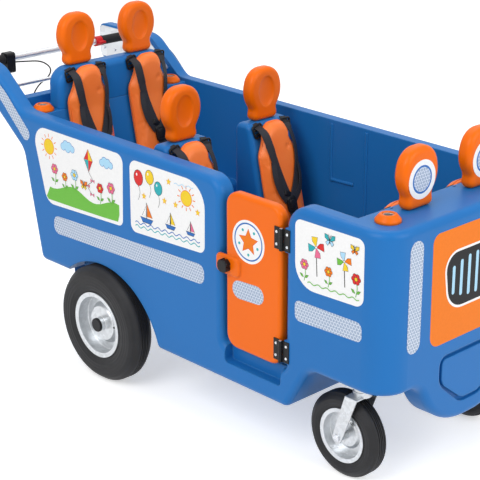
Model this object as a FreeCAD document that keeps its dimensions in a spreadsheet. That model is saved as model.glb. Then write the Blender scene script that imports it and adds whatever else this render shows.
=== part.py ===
import FreeCAD, Part

import math
import os

import Sketcher

# A push bus for six small children: a moulded tub on four wheels.
# +X points forwards, +Y to the bus's left and +Z up, in millimetres.
# The origin is on the floor under the middle of the tub.

SIZES = (
    ("tub_length", 2050, "from the ends of the side arms to the nose"),
    ("tub_width", 748, "over the side walls"),
    ("rim_rise", 12, "top of the side walls above the decks"),
    ("axle_x", -175, "rear axle"),
    ("axle_height", 194, "floor to the rear axle"),
    ("wall", 55, "thickness of the double side wall"),
    ("floor_wall", 45, "thickness of the double floor"),
    ("belly_height", 185, "floor to the underside of the footwell"),
    ("belly_front_x", 652, "front end of the footwell's underside"),
    ("belly_rear_x", 40, "rear end of the footwell's underside"),
    ("skirt_height", 332, "floor to the underside of the nose"),
    ("skirt_rear_x", 737, "where the underside of the nose begins"),
    ("tail_height", 321, "floor to the underside over the rear axle"),
    ("tail_front_x", 5, "where the underside over the axle ends"),
    ("tail_x", -507, "foot of the tail"),
    ("tail_knee_x", -583, "where the tail meets the side arm"),
    ("tail_knee_height", 690, "height of that knee"),
    ("arm_rise", 128, "top of the side arms above the rim"),
    ("arm_top_x", -737, "front end of the arm's level top"),
    ("arm_foot_x", -578, "where the arm's front slope meets the rim"),
    ("arm_thick", 128, "thickness of the side arms, top to bottom"),
    ("arm_bottom_x", -749, "front end of that underside"),
    ("rear_wall_x", -695, "outer face of the wall between the arms"),
    ("deck_height", 808, "top of the rear and front decks"),
    ("rear_rim_rise", 30, "top of the rear wall above the deck"),
    ("rear_rim_width", 40, "thickness of the rear wall"),
    ("cabin_rear_x", -545, "face of the rear backrest"),
    ("cabin_front_x", 865, "face of the front backrest"),
    ("deck_bend_radius", 4000, "bend from the level nose to the rising rim"),
    ("nose_radius", 90, "rounding of the nose's upright corners"),
    ("rim_round", 22, "rounding of the rim"),
    ("bend_radius", 60, "wide bends of the side outline"),
    ("arm_bend_radius", 110, "bends of the side arm"),
    ("arm_end_radius", 24, "rounding of the arm's end"),
    ("corner_radius", 26, "small bends of the side outline"),
    ("rear_seat_height", 500, "top of the rear bench moulding"),
    ("rear_seat_depth", 275, "rear bench, front to back"),
    ("seat_height", 380, "top of the other bench mouldings"),
    ("front_seat_depth", 290, "front bench, front to back"),
    ("apron_root", 270, "half width of the apron where it joins the nose"),
    ("apron_top", 225, "half width of the apron at its top"),
    ("apron_bottom", 140, "half width of the apron at its foot"),
    ("apron_height", 173, "floor to the foot of the apron"),
    ("apron_radius", 200, "rounding of the apron's foot"),
    ("apron_depth", 80, "apron, front to back"),
    ("pad_width", 290, "width of the panel on the apron"),
    ("pad_foot_half", 45, "half width of that panel's foot"),
    ("pad_top_height", 397, "top of that panel"),
    ("pad_bottom_height", 226, "bottom of that panel"),
    ("door_gap_rear_x", 385, "rear edge of the doorway"),
    ("door_gap_front_x", 647, "front edge of the doorway"),
    ("door_sill_height", 298, "bottom of the doorway"),
    ("door_flare_rear", 58, "rounding of the doorway into the rim behind the door"),
    ("door_flare_front", 72, "the same in front of the door"),
    ("hinge_seat", 28, "width and depth of the flats under the hinges"),
    ("step_width", 234, "foothold under the door"),
    ("step_height", 50, "height of the foothold"),
    ("step_depth", 34, "depth of the foothold"),
    ("groove", 13, "width and depth of the groove round the apron's panel"),
    ("arch_inner_y", 300, "inner face of the wheel arches"),
    ("arch_height", 112, "floor to the centre of the arches' curve"),
    ("arch_radius", 284, "radius of the wheel arches"),
    ("arch_wall", 30, "wall over the wheel arches"),
    ("wheel_box_length", 440, "boxes in the cabin that hold the arches"),
    ("arch_box_radius", 150, "rounding of those boxes"),
    ("cut_past", 1, "how far a cut runs past what it cuts"),
    ("seat_gap", 0.3, "gap between pieces that sit on each other"),
    ("run_gap", 0.05, "radial play of a turning fit"),
    ("backrest_width", 470, "rear backrest over both seats"),
    ("backrest_depth", 70, "thickness of the backrests"),
    ("rear_backrest_rise", 136, "rear backrest above the deck"),
    ("backrest_round", 60, "rounding of the backrests' top corners"),
    ("backrest_edge", 22, "rounding of the backrests' edges"),
    ("middle_seat_y", 177, "centre of a middle seat"),
    ("middle_seat_width", 184, "width of a middle seat"),
    ("middle_backrest_x", 28, "face of the middle backrests"),
    ("middle_backrest_rise", 429, "middle backrests above their seats"),
    ("middle_seat_depth", 302, "middle bench, front to back"),
    ("rear_seat_y", 131, "centre of a rear seat"),
    ("front_seat_y", 136, "centre of a front seat"),
    ("middle_foot_x", 110, "rear end of the middle seat's foot"),
    ("seat_edge", 18, "rounding of the middle seats' edges"),
    ("seat_lean", 0.22, "lean of the seat backs, run for each unit of height"),
    ("knee_round", 300, "bend of a back cushion at the deck"),
    ("seat_bend", 27, "seat cushion in front of the backrest's face"),
    ("head_height", 174, "headrest, over all"),
    ("head_half", 79, "headrest's outline: cheeks, half width"),
    ("head_cheek_height", 86, "height of the cheeks"),
    ("head_cheek_radius", 85, "rounding of the cheeks"),
    ("head_crown_half", 56, "half width of the crown"),
    ("head_crown_radius", 62, "rounding of the crown"),
    ("neck_half", 50, "half width of the neck"),
    ("neck_height", 38, "height of the neck"),
    ("neck_radius", 20, "rounding of the neck"),
    ("foot_half", 58, "half width of the headrest's foot"),
    ("foot_radius", 18, "rounding of the foot"),
    ("head_depth", 46, "thickness of the headrest"),
    ("head_edge", 17, "rounding of the headrest's edges"),
    ("dish_height", 96, "height of the headrest's dish centre"),
    ("dish_long", 50, "half height of the dish"),
    ("dish_wide", 34, "half width of the dish"),
    ("dish_depth", 8, "depth of the dish"),
    ("rear_head_x", -585, "middle of the rear headrests"),
    ("middle_head_x", -7, "middle of the middle headrests"),
    ("front_head_x", 907, "middle of the front headrests"),
    ("pad_thick", 42, "thickness of the cushions"),
    ("pad_half", 84, "half width of a back cushion"),
    ("pad_crown_half", 46, "half width of a back cushion's top"),
    ("pad_crown_radius", 42, "rounding of its top"),
    ("pad_neck_half", 50, "half width where its top begins to flare"),
    ("pad_neck_drop", 80, "how far down that is"),
    ("pad_neck_radius", 60, "rounding of the flare"),
    ("pad_shoulder_drop", 140, "how far down it reaches its full width"),
    ("pad_shoulder_radius", 45, "rounding of its shoulders"),
    ("pad_corner", 18, "rounding of the cushions' corners"),
    ("pad_edge", 16, "rounding of the cushions' edges"),
    ("seat_pad_depth", 160, "seat cushion, front to back"),
    ("strap_width", 38, "width of the webbing"),
    ("strap_thick", 3, "thickness of the webbing"),
    ("strap_shoulder", 60, "shoulder strap to the seat's middle"),
    ("strap_drop", 34, "top of the straps under the cushion's top"),
    ("buckle_size", 52, "width and height of the buckle"),
    ("buckle_thick", 16, "thickness of the buckle"),
    ("buckle_height", 70, "buckle above the seat cushion"),
    ("socket_rear_x", -583, "rear canopy sockets"),
    ("socket_front_x", 935, "front canopy sockets"),
    ("socket_y", 280, "canopy sockets to the middle"),
    ("socket_radius", 36.5, "radius of the socket's cap"),
    ("socket_crown", 24, "radius of the cap's top"),
    ("socket_height", 22, "height of the cap"),
    ("socket_lip", 7, "height of the cap's edge"),
    ("socket_tube_radius", 16, "outer radius of the socket's tube"),
    ("socket_bore", 12.5, "bore for the canopy's pole"),
    ("socket_depth", 110, "length of the socket's tube"),
    ("socket_sunk", 3, "top of the tube under the cap's top"),
    ("socket_draft", 0.3, "draft of the tube's seat in the tub, in degrees"),
    ("door_rear_x", 405, "rear edge of the door"),
    ("door_front_x", 631, "front edge of the door"),
    ("door_bottom", 306, "bottom of the door"),
    ("door_drop", 18, "top of the door below the decks"),
    ("door_thick", 36, "thickness of the door"),
    ("door_round", 44, "rounding of the door's corners"),
    ("door_edge", 12, "rounding of the door's face edges"),
    ("tab_x", 371, "rear end of the tab that carries the knob"),
    ("tab_front_x", 470, "front end of that tab"),
    ("tab_height", 60, "height of the tab"),
    ("tab_thick", 8, "thickness of the tab"),
    ("knob_x", 415, "spindle of the door knob"),
    ("knob_height", 565, "height of the door knob"),
    ("knob_radius", 21, "radius of the knob"),
    ("knob_depth", 18, "thickness of the knob"),
    ("knob_edge", 4, "rounding of the knob's rim"),
    ("grip_notch", 7, "radius of the notches round the knob"),
    ("spindle_radius", 8, "radius of the knob's spindle"),
    ("latch_length", 50, "reach of the latch tongue"),
    ("latch_width", 18, "width of the latch tongue"),
    ("latch_thick", 6, "thickness of the latch tongue"),
    ("latch_gap", 2, "latch tongue to the inside of the wall"),
    ("hinge_x", 637, "hinge pins of the door"),
    ("hinge_out", 6, "hinge pins in front of the wall's face"),
    ("hinge_height", 65, "height of a hinge leaf"),
    ("hinge_inset_low", 25, "lower hinge to the bottom of the door"),
    ("hinge_inset_high", 56, "upper hinge to the top of the door"),
    ("hinge_leaf", 30, "width of a leaf from the pin"),
    ("hinge_thick", 3, "thickness of the leaves"),
    ("hinge_slot", 6.5, "leaf plates to the pin's middle"),
    ("hinge_segment", 21.5, "length of a knuckle"),
    ("pin_radius", 3, "radius of small pins"),
    ("pin_head", 4.5, "radius of the hinge pin's head"),
    ("pin_head_height", 1.5, "height of the hinge pin's head"),
    ("plate_thick", 4, "thickness of the steel plates"),
    ("plate_inset", 6, "handle plate to the arm's outline"),
    ("plate_slope_x", -752, "top of the handle plate's front slope"),
    ("plate_slope_drop", 12, "that point below the top of the arms"),
    ("plate_tip_x", -628, "front tip of the handle plate"),
    ("plate_round", 16, "rounding of the handle plate"),
    ("bar_x", -875, "handlebar"),
    ("bar_drop", 26, "handlebar below the top of the arms"),
    ("bar_radius", 12.5, "radius of the handlebar"),
    ("grip_radius", 16.5, "radius of the grips"),
    ("left_grip_inner", 202, "inner end of the left grip"),
    ("left_grip_outer", 306, "outer end of the left grip"),
    ("right_grip_inner", 228, "inner end of the right grip"),
    ("right_grip_outer", 312, "outer end of the right grip"),
    ("grip_rib", 1.5, "height of the grip's end collars"),
    ("rib_width", 5, "width of those collars"),
    ("bolt_radius", 6.5, "radius of bolt heads"),
    ("bolt_head", 4, "height of bolt heads"),
    ("plate_bolt_x", -1000, "rear bolt of the handle plate"),
    ("plate_bolt_gap", 62, "spacing of its bolts"),
    ("plate_bolt_drop", 90, "its bolts below the top of the arms"),
    ("cross_x", -765, "cross tube between the arms"),
    ("cross_drop", 93, "cross tube below the top of the arms"),
    ("cross_radius", 7, "radius of the cross tube"),
    ("perch_inner", 190, "inner face of the brake lever's perch"),
    ("perch_outer", 224, "outer face of the perch"),
    ("perch_half", 19, "half width of the perch"),
    ("perch_rise", 22, "top of the perch above the handlebar"),
    ("perch_drop", 50, "bottom of the perch below the handlebar"),
    ("perch_round", 10, "rounding of the perch"),
    ("lever_y", 204, "pivot of the brake lever"),
    ("lever_drop", 38, "that pivot below the handlebar"),
    ("lever_boss", 8, "radius of the lever's boss"),
    ("lever_width", 12, "width of the lever"),
    ("lever_slot", 12.6, "width of the perch's slot"),
    ("lever_slot_drop", 26, "top of the perch's slot below the handlebar"),
    ("lever_tip_y", 302, "tip of the lever"),
    ("lever_tip_drop", 54, "the lever's tip below the handlebar"),
    ("lever_thick", 7, "thickness of the lever's blade"),
    ("parking_inner", 174, "inner face of the parking latch"),
    ("parking_outer", 200, "outer face of the parking latch"),
    ("parking_radius", 18, "radius of the parking latch"),
    ("parking_tab", 34, "reach of its thumb tab"),
    ("parking_tab_thick", 9, "thickness of the thumb tab"),
    ("axle_radius", 10, "radius of the rear axle"),
    ("axle_half", 398, "half length of the rear axle"),
    ("bracket_y", 230, "axle bracket to the middle"),
    ("bracket_thick", 8, "thickness of the bracket"),
    ("bracket_top_half", 60, "half width of the bracket's flange"),
    ("bracket_foot_half", 24, "half width of the bracket's foot"),
    ("bracket_foot_drop", 24, "bracket below the axle"),
    ("bracket_flange", 50, "width of the flange across"),
    ("tyre_radius", 194, "radius of the rear tyre"),
    ("tyre_inner_y", 318, "inner side of the rear tyre"),
    ("tyre_outer_y", 410, "outer side of the rear tyre"),
    ("tyre_flank_radius", 174, "radius where the tread begins"),
    ("tyre_shoulder", 26, "width of the tread's shoulder"),
    ("tyre_round", 24, "rounding of the tyre's shoulders"),
    ("tread_groove", 3, "width and depth of the tread's grooves"),
    ("rim_radius", 110, "radius of the rim's flange"),
    ("rim_seat", 98.5, "radius of the rim's seat"),
    ("rim_wall", 3.5, "thickness of the rim"),
    ("rim_inner_y", 322, "inner side of the rim"),
    ("rim_outer_y", 406, "outer side of the rim"),
    ("rim_slope", 5, "lean of the rim's flange"),
    ("rim_web_y", 362, "web of the rim at its foot"),
    ("rim_dish_y", 380, "web of the rim at the hub"),
    ("rim_dish_radius", 68, "radius of the rim's inner dish"),
    ("hub_radius", 22, "radius of the hub tube"),
    ("hub_inner_y", 325, "inner end of the hub tube"),
    ("hub_outer_y", 400, "outer end of the hub tube"),
    ("cap_radius", 23, "radius of the hub cap"),
    ("cap_height", 8, "height of the hub cap"),
    ("cap_edge", 3, "rounding of the hub cap"),
    ("drum_radius", 60, "radius of the brake drum"),
    ("drum_inner_y", 286, "open side of the drum"),
    ("drum_outer_y", 318, "closed side of the drum"),
    ("drum_wall", 6, "thickness of the drum"),
    ("brake_plate_y", 276, "inner face of the brake's backing plate"),
    ("brake_plate_thick", 6, "thickness of the backing plate"),
    ("brake_plate_radius", 57, "radius of the backing plate"),
    ("cable_radius", 2.5, "radius of the brake cable"),
    ("cable_drop", 17, "where the cable leaves the perch, below the handlebar"),
    ("cable_end_x", -210, "where the cable meets the brake, along"),
    ("cable_end_height", 232, "height where the cable meets the brake"),
    ("beam_half", 30, "half width of the front crossbeam"),
    ("beam_length", 640, "length of the front crossbeam"),
    ("beam_bottom", 305, "underside of the front crossbeam"),
    ("beam_wall", 3, "thickness of the crossbeam"),
    ("caster_x", 857, "swivel axis of the front wheels"),
    ("caster_y", 272, "swivel axis to the middle"),
    ("caster_trail", 50, "front axle behind the swivel axis"),
    ("caster_height", 130, "floor to the front axles"),
    ("caster_plate_x", 50, "half length of the caster's top plate"),
    ("caster_plate_y", 42.5, "half width of the top plate"),
    ("caster_bolt_x", 39, "bolts of the top plate, along"),
    ("caster_bolt_y", 33, "bolts of the top plate, across"),
    ("boss_radius", 26, "radius of the swivel's boss"),
    ("king_radius", 6, "radius of the king pin and the axle bolt"),
    ("king_nut_radius", 10, "radius of the king pin's nut"),
    ("king_nut_height", 5, "height of that nut"),
    ("cup_radius", 28, "radius of the fork's bearing cup"),
    ("cup_top", 284, "top of the bearing cup"),
    ("fork_top", 272, "top of the fork's crown"),
    ("fork_thick", 4, "thickness of the fork"),
    ("fork_half", 48, "outer face of the fork's legs"),
    ("leg_rear_top", 23, "fork leg at the crown, behind the axis"),
    ("leg_front_top", 22, "fork leg at the crown, before the axis"),
    ("leg_rear_x", 71, "fork leg's rear corner"),
    ("leg_rear_height", 121, "height of that corner"),
    ("leg_front_x", 39, "fork leg's front corner"),
    ("leg_front_height", 110, "height of that corner"),
    ("leg_round", 12, "rounding of the leg's corners"),
    ("fork_bend", 3, "bend from the crown to the legs"),
    ("front_tyre_radius", 130, "radius of the front tyre"),
    ("front_tyre_half", 33, "half width of the front tyre"),
    ("front_flank_radius", 112, "radius where the front tread begins"),
    ("front_shoulder", 16, "width of the front tread's shoulder"),
    ("front_round", 16, "rounding of the front tyre"),
    ("front_rim_radius", 82.5, "radius of the front rim's flange"),
    ("front_seat", 74, "radius of the front rim's seat"),
    ("front_rim_half", 30, "half width of the front rim"),
    ("front_web", 5, "offset of the front rim's web"),
    ("front_dish", 8, "depth of its dish"),
    ("front_dish_radius", 46, "radius of its dish"),
    ("front_hub_radius", 14, "radius of the front hub"),
)


class Size:
    """A length that carries both its value and the cell formula behind it."""

    def __init__(self, value, text):
        self.value = float(value)
        self.text = text

    def __add__(self, other):
        return Size(self.value + value_of(other), f"({self.text} + {text_of(other)})")

    def __radd__(self, other):
        return Size(value_of(other) + self.value, f"({text_of(other)} + {self.text})")

    def __sub__(self, other):
        return Size(self.value - value_of(other), f"({self.text} - {text_of(other)})")

    def __rsub__(self, other):
        return Size(value_of(other) - self.value, f"({text_of(other)} - {self.text})")

    def __mul__(self, factor):
        return Size(self.value * value_of(factor), f"({self.text} * {text_of(factor)})")

    def __rmul__(self, factor):
        return self * factor

    def __truediv__(self, factor):
        return Size(self.value / value_of(factor), f"({self.text} / {text_of(factor)})")

    def __neg__(self):
        return Size(-self.value, f"(-1 * {self.text})")


def value_of(length):
    return length.value if isinstance(length, Size) else float(length)


def text_of(length):
    return length.text if isinstance(length, Size) else str(length)


class SizeSheet:
    """The spreadsheet of driving dimensions, read as sheet.alias."""

    def __init__(self, document, rows):
        self.cells = document.addObject("Spreadsheet::Sheet", "Sizes")
        for row, (alias, value, meaning) in enumerate(rows, start=1):
            self.cells.set(f"A{row}", meaning)
            self.cells.set(f"B{row}", str(value))
            self.cells.setAlias(f"B{row}", alias)
            setattr(self, alias, Size(value, f"Sizes.{alias}"))
        document.recompute()


doc = FreeCAD.newDocument("PushBus")
size = SizeSheet(doc, SIZES)
nodes = {}
Z_UP = FreeCAD.Vector(0, 0, 1)


def bind(thing, prop, length):
    """Tie one property to its cells."""
    thing.setExpression(prop, text_of(length))


def body_plane(body, plane):
    """The body's own origin plane, XY, XZ or YZ."""
    for feature in body.Origin.OriginFeatures:
        if feature.Role == f"{plane}_Plane":
            return feature
    raise ValueError(plane)


def new_body(name, at=(0, 0, 0)):
    """An empty body whose own origin lies at the point given."""
    body = doc.addObject("PartDesign::Body", name)
    body.Label = name
    for axis, place in zip("xyz", at):
        if isinstance(place, Size):
            bind(body, f"Placement.Base.{axis}", place)
    return body


def new_sketch(body, plane, offset):
    """A sketch on a plane of the body, moved along the plane's axis."""
    sketch = body.newObject("Sketcher::SketchObject", f"{body.Name}_sketch")
    sketch.AttachmentSupport = (body_plane(body, plane), [""])
    sketch.MapMode = "FlatFace"
    if isinstance(offset, Size):
        bind(sketch, "AttachmentOffset.Base.z", -offset if plane == "XZ" else offset)
    return sketch


def pin_point(sketch, geometry, point, x, y):
    """Fix a point of a sketch at two lengths from its origin."""
    for kind, length in (("DistanceX", x), ("DistanceY", y)):
        rule = Sketcher.Constraint(kind, -1, 1, geometry, point, value_of(length))
        index = sketch.addConstraint(rule)
        if isinstance(length, Size):
            sketch.setExpression(f"Constraints[{index}]", length.text)


def set_radius(sketch, geometry, radius):
    index = sketch.addConstraint(Sketcher.Constraint("Radius", geometry, value_of(radius)))
    if isinstance(radius, Size):
        sketch.setExpression(f"Constraints[{index}]", radius.text)


def unit(start, end):
    step = FreeCAD.Vector(end.x - start.x, end.y - start.y, 0)
    return step.normalize()


def draw_outline(sketch, corners):
    """Draw a closed outline of (x, y) or (x, y, radius) corners, joined by lines."""
    count = len(corners)
    points = [FreeCAD.Vector(value_of(c[0]), value_of(c[1]), 0) for c in corners]
    starts, ends, arcs = [], [], []
    for i, corner in enumerate(corners):
        here, before, after = points[i], points[i - 1], points[(i + 1) % count]
        if len(corner) < 3:
            starts.append(here)
            ends.append(here)
            arcs.append(None)
            continue
        back, ahead = unit(here, before), unit(here, after)
        radius = value_of(corner[2])
        half = math.acos(max(-1, min(1, back.dot(ahead)))) / 2
        reach = radius / math.tan(half)
        centre = here + (back + ahead).normalize() * (radius / math.sin(half))
        starts.append(here + back * reach)
        ends.append(here + ahead * reach)
        arcs.append(centre)
    lines, bends = [], []
    for i in range(count):
        lines.append(sketch.addGeometry(Part.LineSegment(ends[i], starts[(i + 1) % count])))
    for i, centre in enumerate(arcs):
        if centre is None:
            bends.append(None)
            continue
        turns_left = (points[i] - starts[i]).cross(ends[i] - points[i]).z > 0
        first, last = (starts[i], ends[i]) if turns_left else (ends[i], starts[i])
        angle = math.atan2(first.y - centre.y, first.x - centre.x)
        sweep = math.atan2(last.y - centre.y, last.x - centre.x) - angle
        circle = Part.Circle(centre, Z_UP, value_of(corners[i][2]))
        arc = Part.ArcOfCircle(circle, angle, angle + sweep % (2 * math.pi))
        bends.append((sketch.addGeometry(arc), 1 if turns_left else 2))
    for i, corner in enumerate(corners):
        before, after = lines[i - 1], lines[i]
        if bends[i] is None:
            sketch.addConstraint(Sketcher.Constraint("Coincident", before, 2, after, 1))
            pin_point(sketch, after, 1, corner[0], corner[1])
            continue
        arc, entry = bends[i]
        sketch.addConstraint(Sketcher.Constraint("Tangent", before, 2, arc, entry))
        sketch.addConstraint(Sketcher.Constraint("Tangent", arc, 3 - entry, after, 1))
        set_radius(sketch, arc, corner[2])
        virtual = sketch.addGeometry(Part.Point(points[i]), True)
        pin_point(sketch, virtual, 1, corner[0], corner[1])
        sketch.addConstraint(Sketcher.Constraint("PointOnObject", virtual, 1, before))
        sketch.addConstraint(Sketcher.Constraint("PointOnObject", virtual, 1, after))


def draw_circle(sketch, x, y, radius):
    centre = FreeCAD.Vector(value_of(x), value_of(y), 0)
    circle = sketch.addGeometry(Part.Circle(centre, Z_UP, value_of(radius)))
    pin_point(sketch, circle, 3, x, y)
    set_radius(sketch, circle, radius)


def checked(thing, grows=None, before=None):
    """Recompute, and stop if a feature failed or cut nothing."""
    doc.recompute()
    if "Invalid" in thing.State or "Error" in thing.State or thing.Shape.isNull():
        raise RuntimeError(f"{thing.Name} failed")
    if grows is not None and (thing.Shape.Volume > before) != grows:
        raise RuntimeError(f"{thing.Name} changed nothing")
    return thing


def extrude(body, kind, plane, start, depth, sketch_draw):
    """Pad or pocket from start towards the positive axis of the plane."""
    sketch = new_sketch(body, plane, start)
    sketch_draw(sketch)
    doc.recompute()
    before = body.Shape.Volume if body.Tip and body.Tip != sketch and not body.Shape.isNull() else 0
    feature = body.newObject(f"PartDesign::{kind}", f"{body.Name}_{kind.lower()}")
    feature.Profile = sketch
    along_normal = plane != "XZ"
    feature.Reversed = not along_normal if kind == "Pad" else along_normal
    bind(feature, "Length", depth)
    return checked(feature, kind == "Pad", before)


def pad(body, plane, start, depth, corners):
    return extrude(body, "Pad", plane, start, depth, lambda sketch: draw_outline(sketch, corners))


def pocket(body, plane, start, depth, corners):
    return extrude(body, "Pocket", plane, start, depth, lambda sketch: draw_outline(sketch, corners))


def pad_circle(body, plane, start, depth, x, y, radius):
    return extrude(body, "Pad", plane, start, depth, lambda sketch: draw_circle(sketch, x, y, radius))


def drill(body, plane, start, depth, x, y, radius):
    return extrude(body, "Pocket", plane, start, depth, lambda sketch: draw_circle(sketch, x, y, radius))


def edges_where(shape, test):
    return [f"Edge{i}" for i, edge in enumerate(shape.Edges, start=1) if test(edge)]


def fillet(body, radius, test):
    """Round the edges of the body that pass the test."""
    base = body.Tip
    names = edges_where(base.Shape, test)
    feature = body.newObject("PartDesign::Fillet", f"{body.Name}_fillet")
    feature.Base = (base, names)
    bind(feature, "Radius", radius)
    return checked(feature)


def rectangle(x_low, x_high, y_low, y_high, radius=None):
    """The four corners of a rectangle, rounded if a radius is given."""
    corners = ((x_low, y_low), (x_high, y_low), (x_high, y_high), (x_low, y_high))
    return [corner + (radius,) if radius is not None else corner for corner in corners]


def middle(edge):
    return edge.BoundBox.Center


def spans(edge, axis):
    box = edge.BoundBox
    return {"x": box.XLength, "y": box.YLength, "z": box.ZLength}[axis]


def near(a, b, slack=0.5):
    return abs(a - b) < slack


# An edge that spans less than this lies square to the axis.
FLAT = 0.01

# Points the brake cable passes, with heights from the handlebar and from the tail's foot.
CABLE_UPPER = (
    (-873, -150, -20), (-869, -112, -24), (-852, -74, -33), (-835, -60, -52), (-815, -82, -72),
    (-795, -127, -84), (-752, -200, -116), (-716, -240, -162), (-640, -262, -232),
)
CABLE_LOWER = (
    (-590, -268, 289), (-545, -268, 99), (-500, -262, -9), (-400, -250, -31),
    (-300, -250, -39), (-246, -257, -59), (-219, -263, -79),
)
TURNS = {
    "X": FreeCAD.Rotation(FreeCAD.Vector(0, 1, 0), 90),
    "Y": FreeCAD.Rotation(FreeCAD.Vector(1, 0, 0), -90),
    "Z": FreeCAD.Rotation(),
}


def keep(name, thing):
    """Make a document object one of the bus's pieces."""
    thing.Label = name
    nodes[name] = thing
    return thing


def place(thing, *point):
    for axis, length in zip("xyz", point):
        if isinstance(length, Size):
            bind(thing, f"Placement.Base.{axis}", length)
    return checked(thing)


def block(name, x_low, x_high, y_low, y_high, z_low, z_high):
    thing = doc.addObject("Part::Box", name)
    bind(thing, "Length", x_high - x_low)
    bind(thing, "Width", y_high - y_low)
    bind(thing, "Height", z_high - z_low)
    return place(thing, x_low, y_low, z_low)


def rod(name, axis, x, y, z, radius, length):
    """A round bar that starts at the point and runs along the positive axis."""
    thing = doc.addObject("Part::Cylinder", name)
    thing.Placement = FreeCAD.Placement(FreeCAD.Vector(), TURNS[axis])
    bind(thing, "Radius", radius)
    bind(thing, "Height", length)
    return place(thing, x, y, z)


def fuse(name, *parts):
    thing = doc.addObject("Part::MultiFuse", name)
    thing.Shapes = list(parts)
    thing.Refine = True
    return checked(thing)


def cut(name, base, tool):
    thing = doc.addObject("Part::Cut", name)
    thing.Base, thing.Tool = base, tool
    doc.recompute()
    return checked(thing, False, base.Shape.Volume)


def group(name, *parts):
    thing = doc.addObject("Part::Compound", name)
    thing.Links = list(parts)
    return checked(thing)


def mirrored(name, source):
    """The same piece on the other side of the bus."""
    thing = doc.addObject("Part::Mirroring", name)
    thing.Source = source
    thing.Normal = FreeCAD.Vector(0, 1, 0)
    return checked(thing)


def revolve(body, axis, corners):
    """Turn an outline of (radius, distance along the axis) corners round the axis."""
    sketch = new_sketch(body, "XY" if axis == "Y" else "XZ", 0)
    draw_outline(sketch, corners)
    doc.recompute()
    feature = body.newObject("PartDesign::Revolution", f"{body.Name}_turned")
    feature.Profile = sketch
    for line in body.Origin.OriginFeatures:
        if line.Role == f"{axis}_Axis":
            feature.ReferenceAxis = (line, [""])
    return checked(feature)


def turned(name, axis, at, corners):
    body = new_body(name, at)
    revolve(body, axis, corners)
    return body


def circles(body, kind, plane, start, depth, centres, radius):
    """Several round pads or holes in one step."""

    def draw(sketch):
        for x, y in centres:
            draw_circle(sketch, x, y, radius)

    extrude(body, kind, plane, start, depth, draw)


def both_sides(left_name, right_name, piece):
    """Keep a left-hand piece and its mirror image."""
    keep(left_name, piece)
    keep(right_name, mirrored(right_name, piece))


nose_x = size.tub_length / 2
side_y = size.tub_width / 2
cabin_y = side_y - size.wall
rim_height = size.deck_height + size.rim_rise
rear_rim_height = size.deck_height + size.rear_rim_rise
arm_top_height = rim_height + size.arm_rise
arm_bottom_height = arm_top_height - size.arm_thick
above_all = arm_top_height + size.wall
rear_backrest_top = size.deck_height + size.rear_backrest_rise
middle_backrest_top = size.seat_height + size.middle_backrest_rise
door_top = size.deck_height - size.door_drop
hinge_low = size.door_bottom + size.hinge_inset_low
hinge_high = door_top - size.hinge_inset_high - size.hinge_height
plate_slope_height = arm_top_height - size.plate_slope_drop
plate_bolt_height = arm_top_height - size.plate_bolt_drop
cross_height = arm_top_height - size.cross_drop
bar_height = arm_top_height - size.bar_drop
perch_top = bar_height + size.perch_rise
perch_bottom = bar_height - size.perch_drop
lever_height = bar_height - size.lever_drop
lever_slot_top = bar_height - size.lever_slot_drop
lever_tip_height = bar_height - size.lever_tip_drop
cable_top = bar_height - size.cable_drop


def on_side(edge):
    """True for an outline edge in the outer face of a side wall."""
    in_face = spans(edge, "y") < FLAT and near(abs(middle(edge).y), side_y.value)
    corner = near(middle(edge).x, (nose_x - size.nose_radius).value)
    return in_face and not corner


def on_nose(edge):
    """True for an edge of the nose's front face or round its two corners."""
    place = middle(edge)
    level = spans(edge, "z") < FLAT
    corner = place.x > (nose_x - size.nose_radius).value and spans(edge, "x") > FLAT
    front = near(place.x, nose_x.value) and spans(edge, "x") < FLAT
    return spans(edge, "y") > FLAT and (front or level and corner)


def make_tub():
    body = new_body("tub_shell")
    tail = (
        (-nose_x, arm_bottom_height, size.arm_end_radius),
        (size.arm_bottom_x, arm_bottom_height, size.arm_bend_radius),
        (size.tail_knee_x, size.tail_knee_height, size.bend_radius),
        (size.tail_x, size.tail_height, size.corner_radius),
    )
    belly = (
        (size.tail_front_x, size.tail_height, size.bend_radius),
        (size.belly_rear_x, size.belly_height, size.corner_radius),
        (size.belly_front_x, size.belly_height, size.corner_radius),
        (size.skirt_rear_x, size.skirt_height, size.bend_radius),
    )
    nose = (
        (nose_x, size.skirt_height),
        (nose_x, size.deck_height),
        (size.cabin_front_x, size.deck_height, size.deck_bend_radius),
        (size.arm_foot_x, rim_height, size.bend_radius),
        (size.arm_top_x, arm_top_height, size.arm_bend_radius),
        (-nose_x, arm_top_height, size.arm_end_radius),
    )
    pad(body, "XZ", -side_y, size.tub_width, tail + belly + nose)
    fillet(body, size.nose_radius, lambda edge: spans(edge, "z") > size.wall.value
           and near(middle(edge).x, nose_x.value) and spans(edge, "y") < FLAT)
    add_apron(body)
    carve_doorway(body)
    fillet(body, size.rim_round, lambda edge: on_side(edge) or on_nose(edge))
    add_hinge_seats(body)
    carve_cabin(body)
    carve_foothold(body)
    carve_apron_groove(body)
    for x in (size.socket_rear_x, size.socket_front_x):
        for y in (-size.socket_y, size.socket_y):
            depth = size.socket_depth + size.seat_gap
            start = size.deck_height + size.socket_height - size.socket_sunk - depth
            radius = size.socket_tube_radius + size.seat_gap
            seat = drill(body, "XY", start, depth + size.wall, x, y, radius)
            bind(seat, "TaperAngle", size.socket_draft)
            checked(seat)
    return body


def add_apron(body):
    """The apron that hangs below the nose between the front wheels."""
    half = (
        (size.apron_root, size.skirt_height + size.floor_wall),
        (size.apron_root, size.skirt_height),
        (size.apron_top, size.skirt_height, size.bend_radius),
        (size.apron_bottom, size.apron_height, size.apron_radius),
    )
    other = [(-corner[0],) + corner[1:] for corner in reversed(half)]
    pad(body, "YZ", nose_x - size.apron_depth, size.apron_depth, list(half) + other)


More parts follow.
